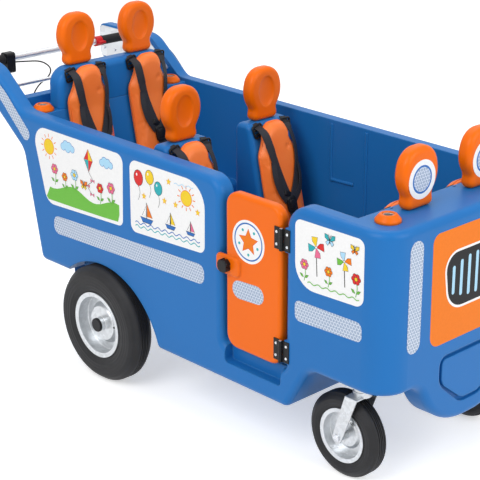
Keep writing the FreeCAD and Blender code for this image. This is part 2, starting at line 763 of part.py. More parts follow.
def carve_cabin(body):
    """The open cabin, the rear deck, the gap between the arms, the wheel arches."""
    floor = size.belly_height + size.floor_wall
    axle_floor = size.tail_height + size.floor_wall
    rear_bench_x = size.cabin_rear_x + size.rear_seat_depth
    front_bench_x = size.cabin_front_x - size.front_seat_depth
    bend = size.corner_radius
    rear_lean = (size.deck_height - size.rear_seat_height) * size.seat_lean
    front_lean = (size.deck_height - size.seat_height) * size.seat_lean
    cabin = (
        (size.cabin_rear_x, above_all),
        (size.cabin_rear_x, size.deck_height),
        (size.cabin_rear_x + rear_lean, size.rear_seat_height, bend),
        (rear_bench_x, size.rear_seat_height, bend),
        (rear_bench_x, axle_floor, bend),
        (size.tail_front_x + size.floor_wall, axle_floor),
        (size.belly_rear_x + size.floor_wall, floor, bend),
        (front_bench_x, floor, bend),
        (front_bench_x, size.seat_height, bend),
        (size.cabin_front_x - front_lean, size.seat_height, bend),
        (size.cabin_front_x, size.deck_height),
        (size.cabin_front_x, above_all),
    )
    pocket(body, "XZ", -cabin_y, 2 * cabin_y, cabin)
    past_end = -nose_x - size.wall
    rear_wall_front = size.rear_wall_x + size.rear_rim_width
    deck = (
        (past_end, rear_rim_height),
        (rear_wall_front, rear_rim_height),
        (rear_wall_front, size.deck_height),
        (size.cabin_rear_x, size.deck_height),
        (size.cabin_rear_x, above_all),
        (past_end, above_all),
    )
    pocket(body, "XZ", -cabin_y, 2 * cabin_y, deck)
    behind = rectangle(past_end, size.rear_wall_x, -cabin_y, cabin_y)
    pocket(body, "XY", size.tail_height, above_all - size.tail_height, behind)
    box_top = size.arch_height + size.arch_radius + size.arch_wall
    box_bottom = axle_floor - size.floor_wall / 2
    half = size.wheel_box_length / 2
    box = (
        (size.axle_x - half, box_bottom),
        (size.axle_x + half, box_bottom),
        (size.axle_x + half, box_top, size.arch_box_radius),
        (size.axle_x - half, box_top, size.arch_box_radius),
    )
    box_depth = cabin_y - size.arch_inner_y + size.arch_wall
    arch_depth = side_y - size.arch_inner_y + size.wall
    for side in (-1, 1):
        start = cabin_y - box_depth if side > 0 else -cabin_y
        pad(body, "XZ", start, box_depth, box)
    for side in (-1, 1):
        start = size.arch_inner_y if side > 0 else -size.arch_inner_y - arch_depth
        drill(body, "XZ", start, arch_depth, size.axle_x, size.arch_height, size.arch_radius)


def rim_at(x):
    """Height of the side wall's sloping top at a place along the tub."""
    fall = (rim_height - size.deck_height) / (size.cabin_front_x - size.arm_foot_x)
    return size.deck_height + (size.cabin_front_x - x) * fall


def carve_doorway(body):
    """The doorway in the right-hand wall, flared into the rim."""
    rear, front = size.door_gap_rear_x, size.door_gap_front_x
    rear_flare, front_flare = size.door_flare_rear, size.door_flare_front
    past_rear, past_front = rear - rear_flare * 2, front + front_flare * 2
    gap = (
        (rear, size.door_sill_height, size.corner_radius),
        (front, size.door_sill_height, size.corner_radius),
        (front, rim_at(front), front_flare),
        (past_front, rim_at(past_front)),
        (past_front, above_all),
        (past_rear, above_all),
        (past_rear, rim_at(past_rear)),
        (rear, rim_at(rear), rear_flare),
    )
    pocket(body, "XZ", -side_y - size.wall, 2 * size.wall + size.cut_past, gap)


def add_hinge_seats(body):
    """Flats in the rounded edge of the doorway that carry the hinges."""
    for low in (hinge_low, hinge_high):
        flat = rectangle(size.door_gap_front_x, size.door_gap_front_x + size.hinge_seat,
                         low - size.hinge_thick, low + size.hinge_height + size.hinge_thick)
        pad(body, "XZ", -side_y, size.hinge_seat, flat)


def carve_foothold(body):
    """The foothold under the door."""
    step_x = (size.door_gap_rear_x + size.door_gap_front_x - size.step_width) / 2
    low = size.door_sill_height - size.step_height
    step = (
        (step_x, low, size.corner_radius / 2),
        (step_x + size.step_width, low, size.corner_radius / 2),
        (step_x + size.step_width, size.door_sill_height + size.cut_past),
        (step_x, size.door_sill_height + size.cut_past),
    )
    pocket(body, "XZ", -side_y - size.wall, size.wall + size.step_depth, step)


def carve_apron_groove(body):
    """The groove that frames the apron's panel."""

    def frame(inset):
        top = size.pad_top_height - inset
        low = size.pad_bottom_height + inset
        shoulder = (size.pad_top_height + size.pad_bottom_height) / 2
        half = size.pad_width / 2 - inset
        foot = size.pad_foot_half - inset / 2
        right = (
            (foot, low, size.bend_radius - inset),
            (half, shoulder, size.bend_radius - inset),
            (half, top, size.bend_radius / 2 - inset),
        )
        left = [(-corner[0],) + corner[1:] for corner in reversed(right)]
        return list(right) + left

    def draw(sketch):
        draw_outline(sketch, frame(0))
        draw_outline(sketch, frame(size.groove))

    extrude(body, "Pocket", "YZ", nose_x - size.groove, 2 * size.groove, draw)


def make_backrest():
    """The block over the rear deck that both rear seats lean on."""
    body = new_body("rear_backrest")
    half = size.backrest_width / 2
    low, high = size.deck_height, rear_backrest_top
    top = size.backrest_round
    outline = ((-half, low), (half, low), (half, high, top), (-half, high, top))
    rear = size.cabin_rear_x - size.backrest_depth
    pad(body, "YZ", rear, size.backrest_depth, outline)
    fillet(body, size.backrest_edge, lambda edge: spans(edge, "x") < FLAT
           and middle(edge).z > low.value + FLAT)
    return body


def make_middle_seat():
    """The left one of the two separate middle seats."""
    body = new_body("middle_seat_left")
    half = size.middle_seat_width / 2
    inner, outer = size.middle_seat_y - half, size.middle_seat_y + half
    floor = size.belly_height + size.floor_wall
    axle_floor = size.tail_height + size.floor_wall
    rear = size.middle_backrest_x - size.backrest_depth
    front = size.middle_backrest_x + size.middle_seat_depth
    lean = (middle_backrest_top - size.seat_height) * size.seat_lean
    bend = size.corner_radius
    outline = (
        (rear, axle_floor),
        (size.middle_foot_x, axle_floor),
        (size.middle_foot_x, floor),
        (front, floor),
        (front, size.seat_height, bend),
        (size.middle_backrest_x + lean, size.seat_height, bend),
        (size.middle_backrest_x, middle_backrest_top, bend),
        (rear, middle_backrest_top, bend),
    )
    pad(body, "XZ", inner, outer - inner, outline)
    fillet(body, size.seat_edge, lambda edge: spans(edge, "y") < FLAT
           and middle(edge).z > axle_floor.value + FLAT
           and near(abs(middle(edge).y - size.middle_seat_y.value), half.value))
    return body


def make_headrest(name, x, y, base, facing):
    """An egg-shaped headrest with a shallow dish on the side of the child's head."""
    body = new_body(f"{name}_block", (x, y, base))
    right = (
        (size.foot_half, 0, size.foot_radius),
        (size.neck_half, size.neck_height, size.neck_radius),
        (size.head_half, size.head_cheek_height, size.head_cheek_radius),
        (size.head_crown_half, size.head_height, size.head_crown_radius),
    )
    left = [(-corner[0],) + corner[1:] for corner in reversed(right)]
    pad(body, "YZ", -size.head_depth / 2, size.head_depth, list(right) + left)
    fillet(body, size.head_edge, lambda edge: spans(edge, "x") < FLAT)
    dish = doc.addObject("Part::Ellipsoid", f"{name}_dish")
    if facing < 0:
        dish.Placement = FreeCAD.Placement(FreeCAD.Vector(), FreeCAD.Rotation(Z_UP, 180))
    bind(dish, "Radius1", size.dish_long)
    bind(dish, "Radius2", size.dish_depth)
    bind(dish, "Radius3", size.dish_wide)
    face = x + size.head_depth / 2 if facing > 0 else x - size.head_depth / 2
    place(dish, face, y, base + size.dish_height)
    keep(name, cut(name, body, dish))


def forward(x, length, facing):
    """A place further towards the front of a seat that faces +X or -X."""
    return x + length if facing > 0 else x - length


def leaning_layer(label, row, ahead, thick, low, high, y_low, y_high, outline):
    """A layer of a back cushion's outline that follows the leaning backrest."""
    name, face, knee, facing = row
    past = size.cut_past

    def surface(height, out):
        drop = knee - height
        leans = drop.value > 0 or high.value <= knee.value
        return forward(face, out + drop * size.seat_lean if leans else out, facing)

    def side(out):
        corners = [(surface(high + past, out), high + past),
                   (surface(low - past, out), low - past)]
        if high.value > knee.value:
            corners.insert(1, (surface(knee, out), knee, size.knee_round))
        return corners

    body = new_body(f"{name}_{label}")
    profile = side(ahead) + side(ahead + thick)[::-1]
    pad(body, "XZ", y_low - past, y_high - y_low + past * 2, profile)

    def draw(sketch):
        wide = past * 2
        draw_outline(sketch, rectangle(y_low - wide, y_high + wide, low - wide, high + wide))
        draw_outline(sketch, outline)

    reach = thick + (knee - low + past) * size.seat_lean + past * 2
    start = face + ahead - past if facing > 0 else face - ahead + past - reach
    extrude(body, "Pocket", "YZ", start, reach, draw)
    return body


def make_cushions(name, row, y, bench, top):
    """Back and seat cushion of one seat."""
    face, knee, facing = row[1:]
    low = bench + size.pad_thick + size.seat_gap
    half, neck, crown = size.pad_half, size.pad_neck_half, size.pad_crown_half
    right = (
        (half, low, size.pad_corner),
        (half, top - size.pad_shoulder_drop, size.pad_shoulder_radius),
        (neck, top - size.pad_neck_drop, size.pad_neck_radius),
        (crown, top, size.pad_crown_radius),
    )
    outline = [(y + c[0],) + c[1:] for c in right]
    outline += [(y - c[0],) + c[1:] for c in reversed(right)]
    back = leaning_layer("back", row, 0, size.pad_thick, low, top, y - half, y + half, outline)
    seat = new_body(f"{name}_seat")
    foot = forward(face, (knee - bench) * size.seat_lean + size.seat_bend, facing)
    start = foot if facing > 0 else foot - size.seat_pad_depth
    outline = rectangle(start, start + size.seat_pad_depth, y - half, y + half, size.pad_corner)
    pad(seat, "XY", bench, size.pad_thick, outline)
    fillet(seat, size.pad_edge, lambda edge: spans(edge, "z") < FLAT
           and near(middle(edge).z, (bench + size.pad_thick).value))
    keep(name, group(name, back, seat))


def make_harness(name, row, seats, bench, top):
    """Shoulder straps and buckle of each seat in the row."""
    parts = []
    buckle = bench + size.pad_thick + size.buckle_height
    half, wide = size.buckle_size / 2, size.strap_width / 2
    start, over = top - size.strap_drop, buckle + half + size.seat_gap
    foot, shoulder = size.buckle_size / 3, size.strap_shoulder
    fork = over + size.buckle_size
    for y in seats:
        straps = (
            (y - foot - wide / 2, over), (y + foot + wide / 2, over),
            (y + shoulder + wide, start), (y + shoulder - wide, start),
            (y, fork),
            (y - shoulder + wide, start), (y - shoulder - wide, start))
        parts.append(leaning_layer(
            "straps", row, size.pad_thick, size.strap_thick, over, start,
            y - shoulder - wide, y + shoulder + wide, straps))
        parts.append(leaning_layer(
            "buckle", row, size.pad_thick, size.buckle_thick, buckle - half, buckle + half,
            y - half, y + half, rectangle(y - half, y + half, buckle - half, buckle + half,
                                          size.pad_corner / 2)))
    keep(name, group(name, *parts))


def make_seats():
    deck, middle_top = size.deck_height, middle_backrest_top
    rows = (
        ("rear", size.cabin_rear_x, deck, 1, size.rear_seat_y, size.rear_seat_height,
         rear_backrest_top, size.rear_head_x),
        ("middle", size.middle_backrest_x, middle_top, 1, size.middle_seat_y, size.seat_height,
         middle_top, size.middle_head_x),
        ("front", size.cabin_front_x, deck, -1, size.front_seat_y, size.seat_height,
         deck, size.front_head_x),
    )
    for name, face, knee, facing, y, bench, top, head_x in rows:
        row = (name, face, knee, facing)
        for side, place_y in (("left", y), ("right", -y)):
            make_headrest(f"headrest_{name}_{side}", head_x, place_y, top, facing)
            make_cushions(f"seat_cushion_{name}_{side}", row, place_y, bench, top)
        make_harness(f"harness_{name}", row, (y, -y), bench, top)


def make_sockets():
    """Canopy sockets: an orange cap with a steel tube sunk into the tub."""
    clear = size.socket_tube_radius + size.seat_gap
    cap = (
        (clear, 0),
        (size.socket_radius, 0),
        (size.socket_radius, size.socket_lip, size.socket_lip / 2),
        (size.socket_crown, size.socket_height, size.socket_lip / 2),
        (clear, size.socket_height),
    )
    low = size.socket_height - size.socket_sunk - size.socket_depth
    tube = (
        (size.socket_bore, low),
        (size.socket_tube_radius, low),
        (size.socket_tube_radius, size.socket_height - size.socket_sunk),
        (size.socket_bore, size.socket_height - size.socket_sunk),
    )
    tubes = []
    for end, x in (("rear", size.socket_rear_x), ("front", size.socket_front_x)):
        for side, y in (("left", size.socket_y), ("right", -size.socket_y)):
            at = (x, y, size.deck_height)
            name = f"canopy_socket_{end}_{side}"
            keep(name, turned(name, "Z", at, cap))
            tubes.append(turned(f"canopy_tube_{end}_{side}", "Z", at, tube))
    keep("canopy_tubes", group("canopy_tubes", *tubes))


def make_door():
    body = new_body("door_panel")
    outline = rectangle(size.door_rear_x, size.door_front_x, size.door_bottom,
                        door_top, size.door_round)
    pad(body, "XZ", -side_y, size.door_thick, outline)
    fillet(body, size.door_edge, lambda edge: spans(edge, "y") < FLAT)
    half = size.tab_height / 2
    tab = rectangle(size.tab_x, size.tab_front_x, size.knob_height - half,
                    size.knob_height + half, half - size.door_edge)
    gap = size.seat_gap
    pad(body, "XZ", -side_y - size.tab_thick, size.tab_thick - gap, tab)
    joint = rectangle(size.door_rear_x + size.door_edge, size.tab_front_x - half,
                      size.knob_height - half + size.door_edge,
                      size.knob_height + half - size.door_edge)
    pad(body, "XZ", -side_y - gap - gap, gap * 3, joint)
    fillet(body, size.door_edge / 2, lambda edge: spans(edge, "y") < FLAT
           and near(middle(edge).y, -(side_y + size.tab_thick).value))
    drill(body, "XZ", -side_y - size.tab_thick - size.cut_past, size.wall,
          size.knob_x, size.knob_height, size.spindle_radius + size.run_gap)
    keep("door_panel", body)
    face = size.tab_thick
    knob = (
        (0, -face - size.knob_depth),
        (size.knob_radius, -face - size.knob_depth, size.knob_edge),
        (size.knob_radius, -face - size.seat_gap),
        (size.spindle_radius, -face - size.seat_gap),
        (size.spindle_radius, size.wall + size.latch_gap),
        (0, size.wall + size.latch_gap),
    )
    at = (size.knob_x, -side_y, size.knob_height)
    body = turned("door_knob", "Y", at, knob)
    reach = size.knob_radius + size.grip_notch / 2
    notches = [(reach, 0), (-reach, 0),
               (0, reach), (0, -reach)]
    circles(body, "Pocket", "XZ", -face - size.knob_depth - size.cut_past,
            size.knob_depth + size.cut_past * 2, notches, size.grip_notch)
    keep("door_knob", body)
    half = size.latch_width / 2
    tongue = new_body("latch_tongue")
    outline = ((size.knob_x - half, size.knob_height - half, half / 2),
               (size.knob_x + half, size.knob_height - half, half / 2),
               (size.knob_x + half, size.knob_height + size.latch_length, half / 2),
               (size.knob_x - half, size.knob_height + size.latch_length, half / 2))
    pad(tongue, "XZ", -cabin_y + size.latch_gap, size.latch_thick, outline)
    keep("latch_tongue", tongue)


def make_hinges():
    """Two butt hinges on the face of the wall: leaves, knuckles and pins."""
    pin_y = -side_y - size.hinge_out
    door_leaves, frame_leaves, pins = [], [], []
    clear = size.hinge_slot
    seg, gap = size.hinge_segment, size.seat_gap / 2
    for label, low in (("low", hinge_low), ("high", hinge_high)):
        high = low + size.hinge_height
        levels = ((low, low + seg), (low + seg + gap, high - seg - gap), (high - seg, high))
        for side, leaves, own in ((-1, door_leaves, levels[1:2]),
                                  (1, frame_leaves, levels[::2])):
            name = f"hinge_{label}_{'door' if side < 0 else 'frame'}"
            near_x = size.hinge_x + clear if side > 0 else size.hinge_x - size.hinge_leaf
            far_x = size.hinge_x + size.hinge_leaf if side > 0 else size.hinge_x - clear
            wall_y = -side_y
            parts = [block(f"{name}_plate", near_x, far_x, wall_y - size.hinge_thick,
                           wall_y, low, high)]
            tab_low = size.hinge_x if side > 0 else size.hinge_x - clear
            for start, end in own:
                parts.append(rod(f"{name}_knuckle", "Z", size.hinge_x, pin_y, start,
                                 size.hinge_out, end - start))
                parts.append(block(f"{name}_tab", tab_low, tab_low + clear,
                                   wall_y - size.hinge_thick, wall_y, start, end))
            solid = fuse(f"{name}_solid", *parts)
            radius = size.pin_radius + size.run_gap if side < 0 else size.pin_radius
            hole = rod(f"{name}_bore", "Z", size.hinge_x, pin_y, low, radius,
                       size.hinge_height)
            leaves.append(cut(f"{name}_leaf", solid, hole))
        shaft = rod(f"hinge_{label}_shaft", "Z", size.hinge_x, pin_y, low,
                    size.pin_radius, size.hinge_height)
        head = rod(f"hinge_{label}_head", "Z", size.hinge_x, pin_y, high,
                   size.pin_head, size.pin_head_height)
        pins.append(fuse(f"hinge_{label}_pin", shaft, head))
    keep("hinge_door_leaves", group("hinge_door_leaves", *door_leaves))
    keep("hinge_frame_leaves", group("hinge_frame_leaves", *frame_leaves))
    keep("hinge_pins", group("hinge_pins", *pins))


def make_handle():
    """Steel plates inside the arms, the handlebar, its grips and the cross tube."""
    plate = new_body("handle_plate_left")
    inset = size.plate_inset
    ledge = rear_rim_height + size.seat_gap
    behind_wall = size.rear_wall_x - size.seat_gap
    bottom = arm_bottom_height + inset
    outline = (
        (-nose_x + inset, bottom, size.plate_round),
        (behind_wall, bottom),
        (behind_wall, ledge),
        (size.plate_tip_x, ledge, size.plate_round / 4),
        (size.plate_slope_x, plate_slope_height, size.plate_round),
        (-nose_x + inset, arm_top_height - inset, size.plate_round),
    )
    inner = cabin_y - size.plate_thick
    pad(plate, "XZ", inner, size.plate_thick, outline)
    bolts = [(size.plate_bolt_x, plate_bolt_height),
             (size.plate_bolt_x + size.plate_bolt_gap, plate_bolt_height)]
    circles(plate, "Pad", "XZ", inner - size.bolt_head, size.bolt_head, bolts,
            size.bolt_radius)
    keep("handle_plates", group("handle_plates", plate, mirrored("handle_plate_right", plate)))
    keep("handlebar", rod("handlebar", "Y", size.bar_x, -inner, bar_height,
                          size.bar_radius, inner * 2))
    keep("cross_tube", rod("cross_tube", "Y", size.cross_x, -inner, cross_height,
                           size.cross_radius, inner * 2))
    at = (size.bar_x, 0, bar_height)
    for name, start, end in (
            ("grip_left", size.left_grip_inner, size.left_grip_outer),
            ("grip_right", -size.right_grip_outer, -size.right_grip_inner)):
        rib, wide = size.grip_radius + size.grip_rib, size.rib_width
        keep(name, turned(name, "Y", at, (
            (size.bar_radius, start), (rib, start), (rib, start + wide),
            (size.grip_radius, start + wide), (size.grip_radius, end - wide),
            (rib, end - wide), (rib, end), (size.bar_radius, end))))


def make_brake_lever():
    """The lever's perch on the handlebar and the lever under the right grip."""
    perch = new_body("brake_lever_perch")
    outline = rectangle(size.bar_x - size.perch_half, size.bar_x + size.perch_half,
                        perch_bottom, perch_top, size.perch_round)
    pad(perch, "XZ", -size.perch_outer, size.perch_outer - size.perch_inner, outline)
    past = size.cut_past
    length = size.perch_outer - size.perch_inner + past * 2
    drill(perch, "XZ", -size.perch_outer - past, length, size.bar_x, bar_height,
          size.bar_radius)
    slot = size.lever_slot / 2
    pocket(perch, "XY", perch_bottom - past, lever_slot_top - perch_bottom + past,
           rectangle(size.bar_x - slot, size.bar_x + slot, -size.perch_outer - past,
                     -size.perch_inner - size.plate_thick))
    pad_circle(perch, "YZ", size.bar_x - slot - past, size.lever_slot + past * 2,
               -size.lever_y, lever_height, size.pin_radius)
    keep("brake_lever_perch", perch)
    lever = new_body("brake_lever")
    start = size.bar_x - size.lever_width / 2
    boss, thick = size.lever_boss, size.lever_thick
    low = lever_height - boss
    blade = (
        (-size.lever_y, low),
        (-size.lever_y, low + thick + boss / 2),
        (-size.perch_outer, low + thick, size.perch_round),
        (-size.lever_tip_y, lever_tip_height + thick, thick / 3),
        (-size.lever_tip_y, lever_tip_height, thick / 3),
        (-size.perch_outer, low - size.pin_radius, size.perch_round),
    )
    pad(lever, "YZ", start, size.lever_width, blade)
    pad_circle(lever, "YZ", start, size.lever_width, -size.lever_y, lever_height, boss)
    drill(lever, "YZ", start - past, size.lever_width + past * 2, -size.lever_y,
          lever_height, size.pin_radius + size.run_gap)
    keep("brake_lever", lever)
    latch = new_body("parking_latch")
    wide = size.parking_outer - size.parking_inner
    pad_circle(latch, "XZ", size.parking_inner, wide, size.bar_x, bar_height,
               size.parking_radius)
    half = size.parking_tab_thick / 2
    pad(latch, "XZ", size.parking_inner, wide, rectangle(
        size.bar_x, size.bar_x + size.parking_tab, bar_height - half,
        bar_height + half, half / 2))
    drill(latch, "XZ", size.parking_inner - past, wide + past * 2, size.bar_x,
          bar_height, size.bar_radius + size.run_gap)
    keep("parking_latch", latch)


def make_brake_cable():
    """The cable from the lever's perch round the rear wall down to the brake."""
    ends = ((size.bar_x, -size.perch_inner, cable_top),
            (size.cable_end_x, -size.brake_plate_y, size.cable_end_height))
    path = [(x, y, bar_height + z) for x, y, z in CABLE_UPPER]
    path += [(x, y, size.tail_height + z) for x, y, z in CABLE_LOWER]
    points = [FreeCAD.Vector(*(value_of(part) for part in point))
              for point in [ends[0]] + path + [ends[1]]]
    curve = Part.BSplineCurve()
    across = FreeCAD.Vector(0, 1, 0)
    curve.interpolate(Points=points, InitialTangent=across, FinalTangent=-across)
    spine = doc.addObject("Part::Feature", "brake_cable_path")
    spine.Shape = Part.Wire(curve.toShape())
    ring = doc.addObject("Part::Circle", "brake_cable_ring")
    ring.Placement = FreeCAD.Placement(FreeCAD.Vector(), TURNS["Y"])
    bind(ring, "Radius", size.cable_radius)
    place(ring, *ends[0][:1], -size.perch_inner, cable_top)
    cable = doc.addObject("Part::Sweep", "brake_cable")
    cable.Sections = [ring]
    cable.Spine = (spine, ["Edge1"])
    cable.Solid = True
    cable.Frenet = True
    keep("brake_cable", checked(cable))


def make_rear_axle():
    x, z = size.axle_x, size.axle_height
    keep("rear_axle", rod("rear_axle", "Y", x, -size.axle_half, z, size.axle_radius,
                          size.axle_half * 2))
    bracket = new_body("axle_bracket_left")
    top, foot = size.bracket_top_half, size.bracket_foot_half
    low = z - size.bracket_foot_drop
    outline = ((x - foot, low, size.plate_round), (x + foot, low, size.plate_round),
               (x + top, size.tail_height), (x - top, size.tail_height))
    start = size.bracket_y - size.bracket_thick / 2
    pad(bracket, "XZ", start, size.bracket_thick, outline)
    across = size.bracket_flange / 2
    flange = rectangle(x - top, x + top, size.bracket_y - across, size.bracket_y + across)
    pad(bracket, "XY", size.tail_height - size.plate_thick, size.plate_thick, flange)
    drill(bracket, "XZ", start - size.cut_past, size.bracket_thick + size.cut_past * 2,
          x, z, size.axle_radius)
    keep("axle_brackets", group("axle_brackets", bracket,
                                mirrored("axle_bracket_right", bracket)))
    disc = turned("brake_plate_left", "Y", (x, 0, z), rectangle(
        size.axle_radius, size.brake_plate_radius, size.brake_plate_y,
        size.brake_plate_y + size.brake_plate_thick))
    keep("brake_plates", group("brake_plates", disc, mirrored("brake_plate_right", disc)))


def make_rear_wheel():
    """The left rear wheel: pressed steel rim, tyre, drum and hub cap."""
    at = (size.axle_x, 0, size.axle_height)
    bore = size.axle_radius + size.run_gap
    seat, wall, flange = size.rim_seat, size.rim_wall, size.rim_radius
    inner, outer, lean = size.rim_inner_y, size.rim_outer_y, size.rim_slope
    hub, dish = size.hub_radius, size.rim_dish_radius
    rim = (
        (bore, size.hub_inner_y),
        (hub, size.hub_inner_y),
        (hub, size.rim_dish_y, wall),
        (dish - hub / 2, size.rim_dish_y, wall),
        (dish, size.rim_web_y, wall),
        (seat - wall, size.rim_web_y, wall),
        (seat - wall, inner + lean - wall),
        (flange, inner),
        (flange, inner + wall),
        (seat, inner + wall + lean),
        (seat, outer - wall - lean),
        (flange, outer - wall),
        (flange, outer),
        (seat - wall, outer - lean + wall),
        (seat - wall, size.rim_web_y + wall, wall),
        (dish + wall / 2, size.rim_web_y + wall, wall),
        (dish - hub / 2, size.rim_dish_y + wall, wall),
        (hub, size.rim_dish_y + wall, wall),
        (hub, size.hub_outer_y),
        (bore, size.hub_outer_y),
    )
    both_sides("rear_rim_left", "rear_rim_right", turned("rear_rim_left", "Y", at, rim))
    both_sides("rear_tyre_left", "rear_tyre_right", turned(
        "rear_tyre_left", "Y", at, tyre_outline(
            seat, flange, size.tyre_radius, size.tyre_flank_radius, inner + wall, outer - wall,
            lean, size.tyre_inner_y, size.tyre_outer_y, size.tyre_shoulder, size.tyre_round)))
    drum, thin = size.drum_radius, size.drum_wall
    shell = (
        (bore, size.drum_outer_y - thin),
        (drum - thin, size.drum_outer_y - thin),
        (drum - thin, size.drum_inner_y),
        (drum, size.drum_inner_y),
        (drum, size.drum_outer_y, thin / 2),
        (hub, size.drum_outer_y),
        (hub, size.hub_inner_y),
        (bore, size.hub_inner_y),
    )
    both_sides("brake_drum_left", "brake_drum_right", turned("brake_drum_left", "Y", at, shell))
    cap = (
        (0, size.hub_outer_y),
        (size.cap_radius, size.hub_outer_y),
        (size.cap_radius, size.hub_outer_y + size.cap_height, size.cap_edge),
        (0, size.hub_outer_y + size.cap_height),
    )
    both_sides("hub_cap_left", "hub_cap_right", turned("hub_cap_left", "Y", at, cap))


def tyre_outline(seat, flange, radius, flank, rim_low, rim_high, lean, low, high, shoulder, bend):
    """Section of a tyre from its bead on the rim's seat to a grooved tread."""
    gap, groove = size.seat_gap, size.tread_groove
    centre = (low + high) / 2
    side = (
        (seat, rim_high - lean - gap),
        (flange + gap, rim_high - gap),
        (flange + bend, high),
        (flank, high, bend),
        (radius, high - shoulder, bend / 2),
        (radius, centre + groove * 4),
        (radius - groove, centre + groove * 4),
        (radius - groove, centre + groove * 3),
        (radius, centre + groove * 3),
        (radius, centre + groove * 1.5),
        (radius - groove, centre + groove * 1.5),
        (radius - groove, centre + groove / 2),
        (radius, centre + groove / 2),
    )
    other = [(corner[0], centre * 2 - corner[1]) + corner[2:] for corner in reversed(side)]
    return list(side) + other


def make_casters():
    """The left swivelling front wheel and the crossbeam over both."""
    beam = new_body("front_crossbeam")
    wall = size.beam_wall
    x_low, x_high = size.caster_x - size.beam_half, size.caster_x + size.beam_half

    def draw(sketch):
        draw_outline(sketch, rectangle(x_low, x_high, size.beam_bottom, size.skirt_height))
        draw_outline(sketch, rectangle(x_low + wall, x_high - wall, size.beam_bottom + wall,
                                       size.skirt_height - wall))

    extrude(beam, "Pad", "XZ", -size.beam_length / 2, size.beam_length, draw)
    keep("front_crossbeam", beam)
    at = (size.caster_x, size.caster_y, 0)
    gap = size.seat_gap
    nut_top = size.fork_top - size.fork_thick - gap
    pin, nut, boss = size.king_radius, size.king_nut_radius, size.boss_radius
    plate_low = size.beam_bottom - size.plate_thick
    plate = turned("caster_plate_left", "Z", at, (
        (0, nut_top - size.king_nut_height),
        (nut, nut_top - size.king_nut_height),
        (nut, nut_top),
        (pin, nut_top),
        (pin, size.cup_top + gap),
        (boss, size.cup_top + gap),
        (boss, plate_low),
        (0, plate_low),
    ))
    half_x, half_y = size.caster_plate_x, size.caster_plate_y
    pad(plate, "XY", plate_low, size.plate_thick, rectangle(-half_x, half_x, -half_y, half_y))
    bolts = [(x, y) for x in (size.caster_bolt_x, -size.caster_bolt_x)
             for y in (size.caster_bolt_y, -size.caster_bolt_y)]
    circles(plate, "Pad", "XY", plate_low - size.bolt_head, size.bolt_head, bolts,
            size.bolt_radius)
    keep("caster_plates", group("caster_plates", plate, mirrored("caster_plate_right", plate)))
    fork = new_body("caster_fork_left", at)
    leg = (
        (-size.leg_rear_x, size.leg_rear_height, size.leg_round),
        (-size.leg_front_x, size.leg_front_height, size.leg_round),
        (size.leg_front_top, size.fork_top),
        (-size.leg_rear_top, size.fork_top),
    )
    half, thick, past = size.fork_half, size.fork_thick, size.cut_past
    pad_circle(fork, "XY", size.fork_top - thick, size.cup_top - size.fork_top + thick,
               0, 0, size.cup_radius)
    pad(fork, "XY", size.fork_top - thick, thick,
        rectangle(-size.leg_rear_top, size.leg_front_top, -half, half))
    pad(fork, "XZ", half - thick, thick, leg)
    pad(fork, "XZ", -half, thick, leg)
    fillet(fork, size.fork_bend, lambda edge: near(middle(edge).z, size.fork_top.value)
           and near(abs(middle(edge).y), half.value))
    drill(fork, "XY", size.fork_top - thick - past, size.cup_top - size.fork_top + thick + past * 2,
          0, 0, pin + size.run_gap)
    drill(fork, "XZ", -half - past, half * 2 + past * 2, -size.caster_trail,
          size.caster_height, pin)
    both_sides("caster_fork_left", "caster_fork_right", fork)
    wheel = (size.caster_x - size.caster_trail, size.caster_y, size.caster_height)
    head = half + size.bolt_head + size.pin_head_height
    bolt = turned("caster_axle_left", "Y", wheel, (
        (0, -head), (nut, -head, size.cap_edge / 3), (nut, -half), (pin, -half),
        (pin, half), (nut, half), (nut, head, size.cap_edge / 3), (0, head)))
    both_sides("caster_axle_left", "caster_axle_right", bolt)
    seat, wall, flange = size.front_seat, size.rim_wall, size.front_rim_radius
    hub, dish, lean = size.front_hub_radius, size.front_dish_radius, size.rim_slope
    end, edge = half - thick - gap, size.front_rim_half
    web = size.front_web
    rim = (
        (pin + size.run_gap, -end),
        (hub, -end),
        (hub, web, wall / 2),
        (dish - hub / 2, web, wall / 2),
        (dish, web - size.front_dish, wall / 2),
        (seat - wall, web - size.front_dish, wall / 2),
        (seat - wall, -edge + lean - wall),
        (flange, -edge),
        (flange, -edge + wall),
        (seat, -edge + wall + lean),
        (seat, edge - wall - lean),
        (flange, edge - wall),
        (flange, edge),
        (seat - wall, edge - lean + wall),
        (seat - wall, web - size.front_dish + wall, wall / 2),
        (dish + wall / 2, web - size.front_dish + wall, wall / 2),
        (dish - hub / 2, web + wall, wall / 2),
        (hub, web + wall, wall / 2),
        (hub, end),
        (pin + size.run_gap, end),
    )
    both_sides("caster_rim_left", "caster_rim_right", turned("caster_rim_left", "Y", wheel, rim))
    both_sides("caster_tyre_left", "caster_tyre_right", turned(
        "caster_tyre_left", "Y", wheel, tyre_outline(
            seat, flange, size.front_tyre_radius, size.front_flank_radius, -edge + wall,
            edge - wall, lean, -size.front_tyre_half, size.front_tyre_half,
            size.front_shoulder, size.front_round)))


def check_and_export():
    """Every piece must be whole and valid before it is written."""
    doc.recompute()
    for thing in doc.Objects:
        if "Invalid" in thing.State or "Error" in thing.State:
            raise RuntimeError(f"{thing.Name} failed")
    os.makedirs("parts", exist_ok=True)
    for name, thing in nodes.items():
        shape = thing.Shape
        if shape.isNull() or not shape.isValid() or not shape.Solids:
            raise RuntimeError(f"{name} is not a valid solid")
        shape.exportStep(f"parts/{name}.step")


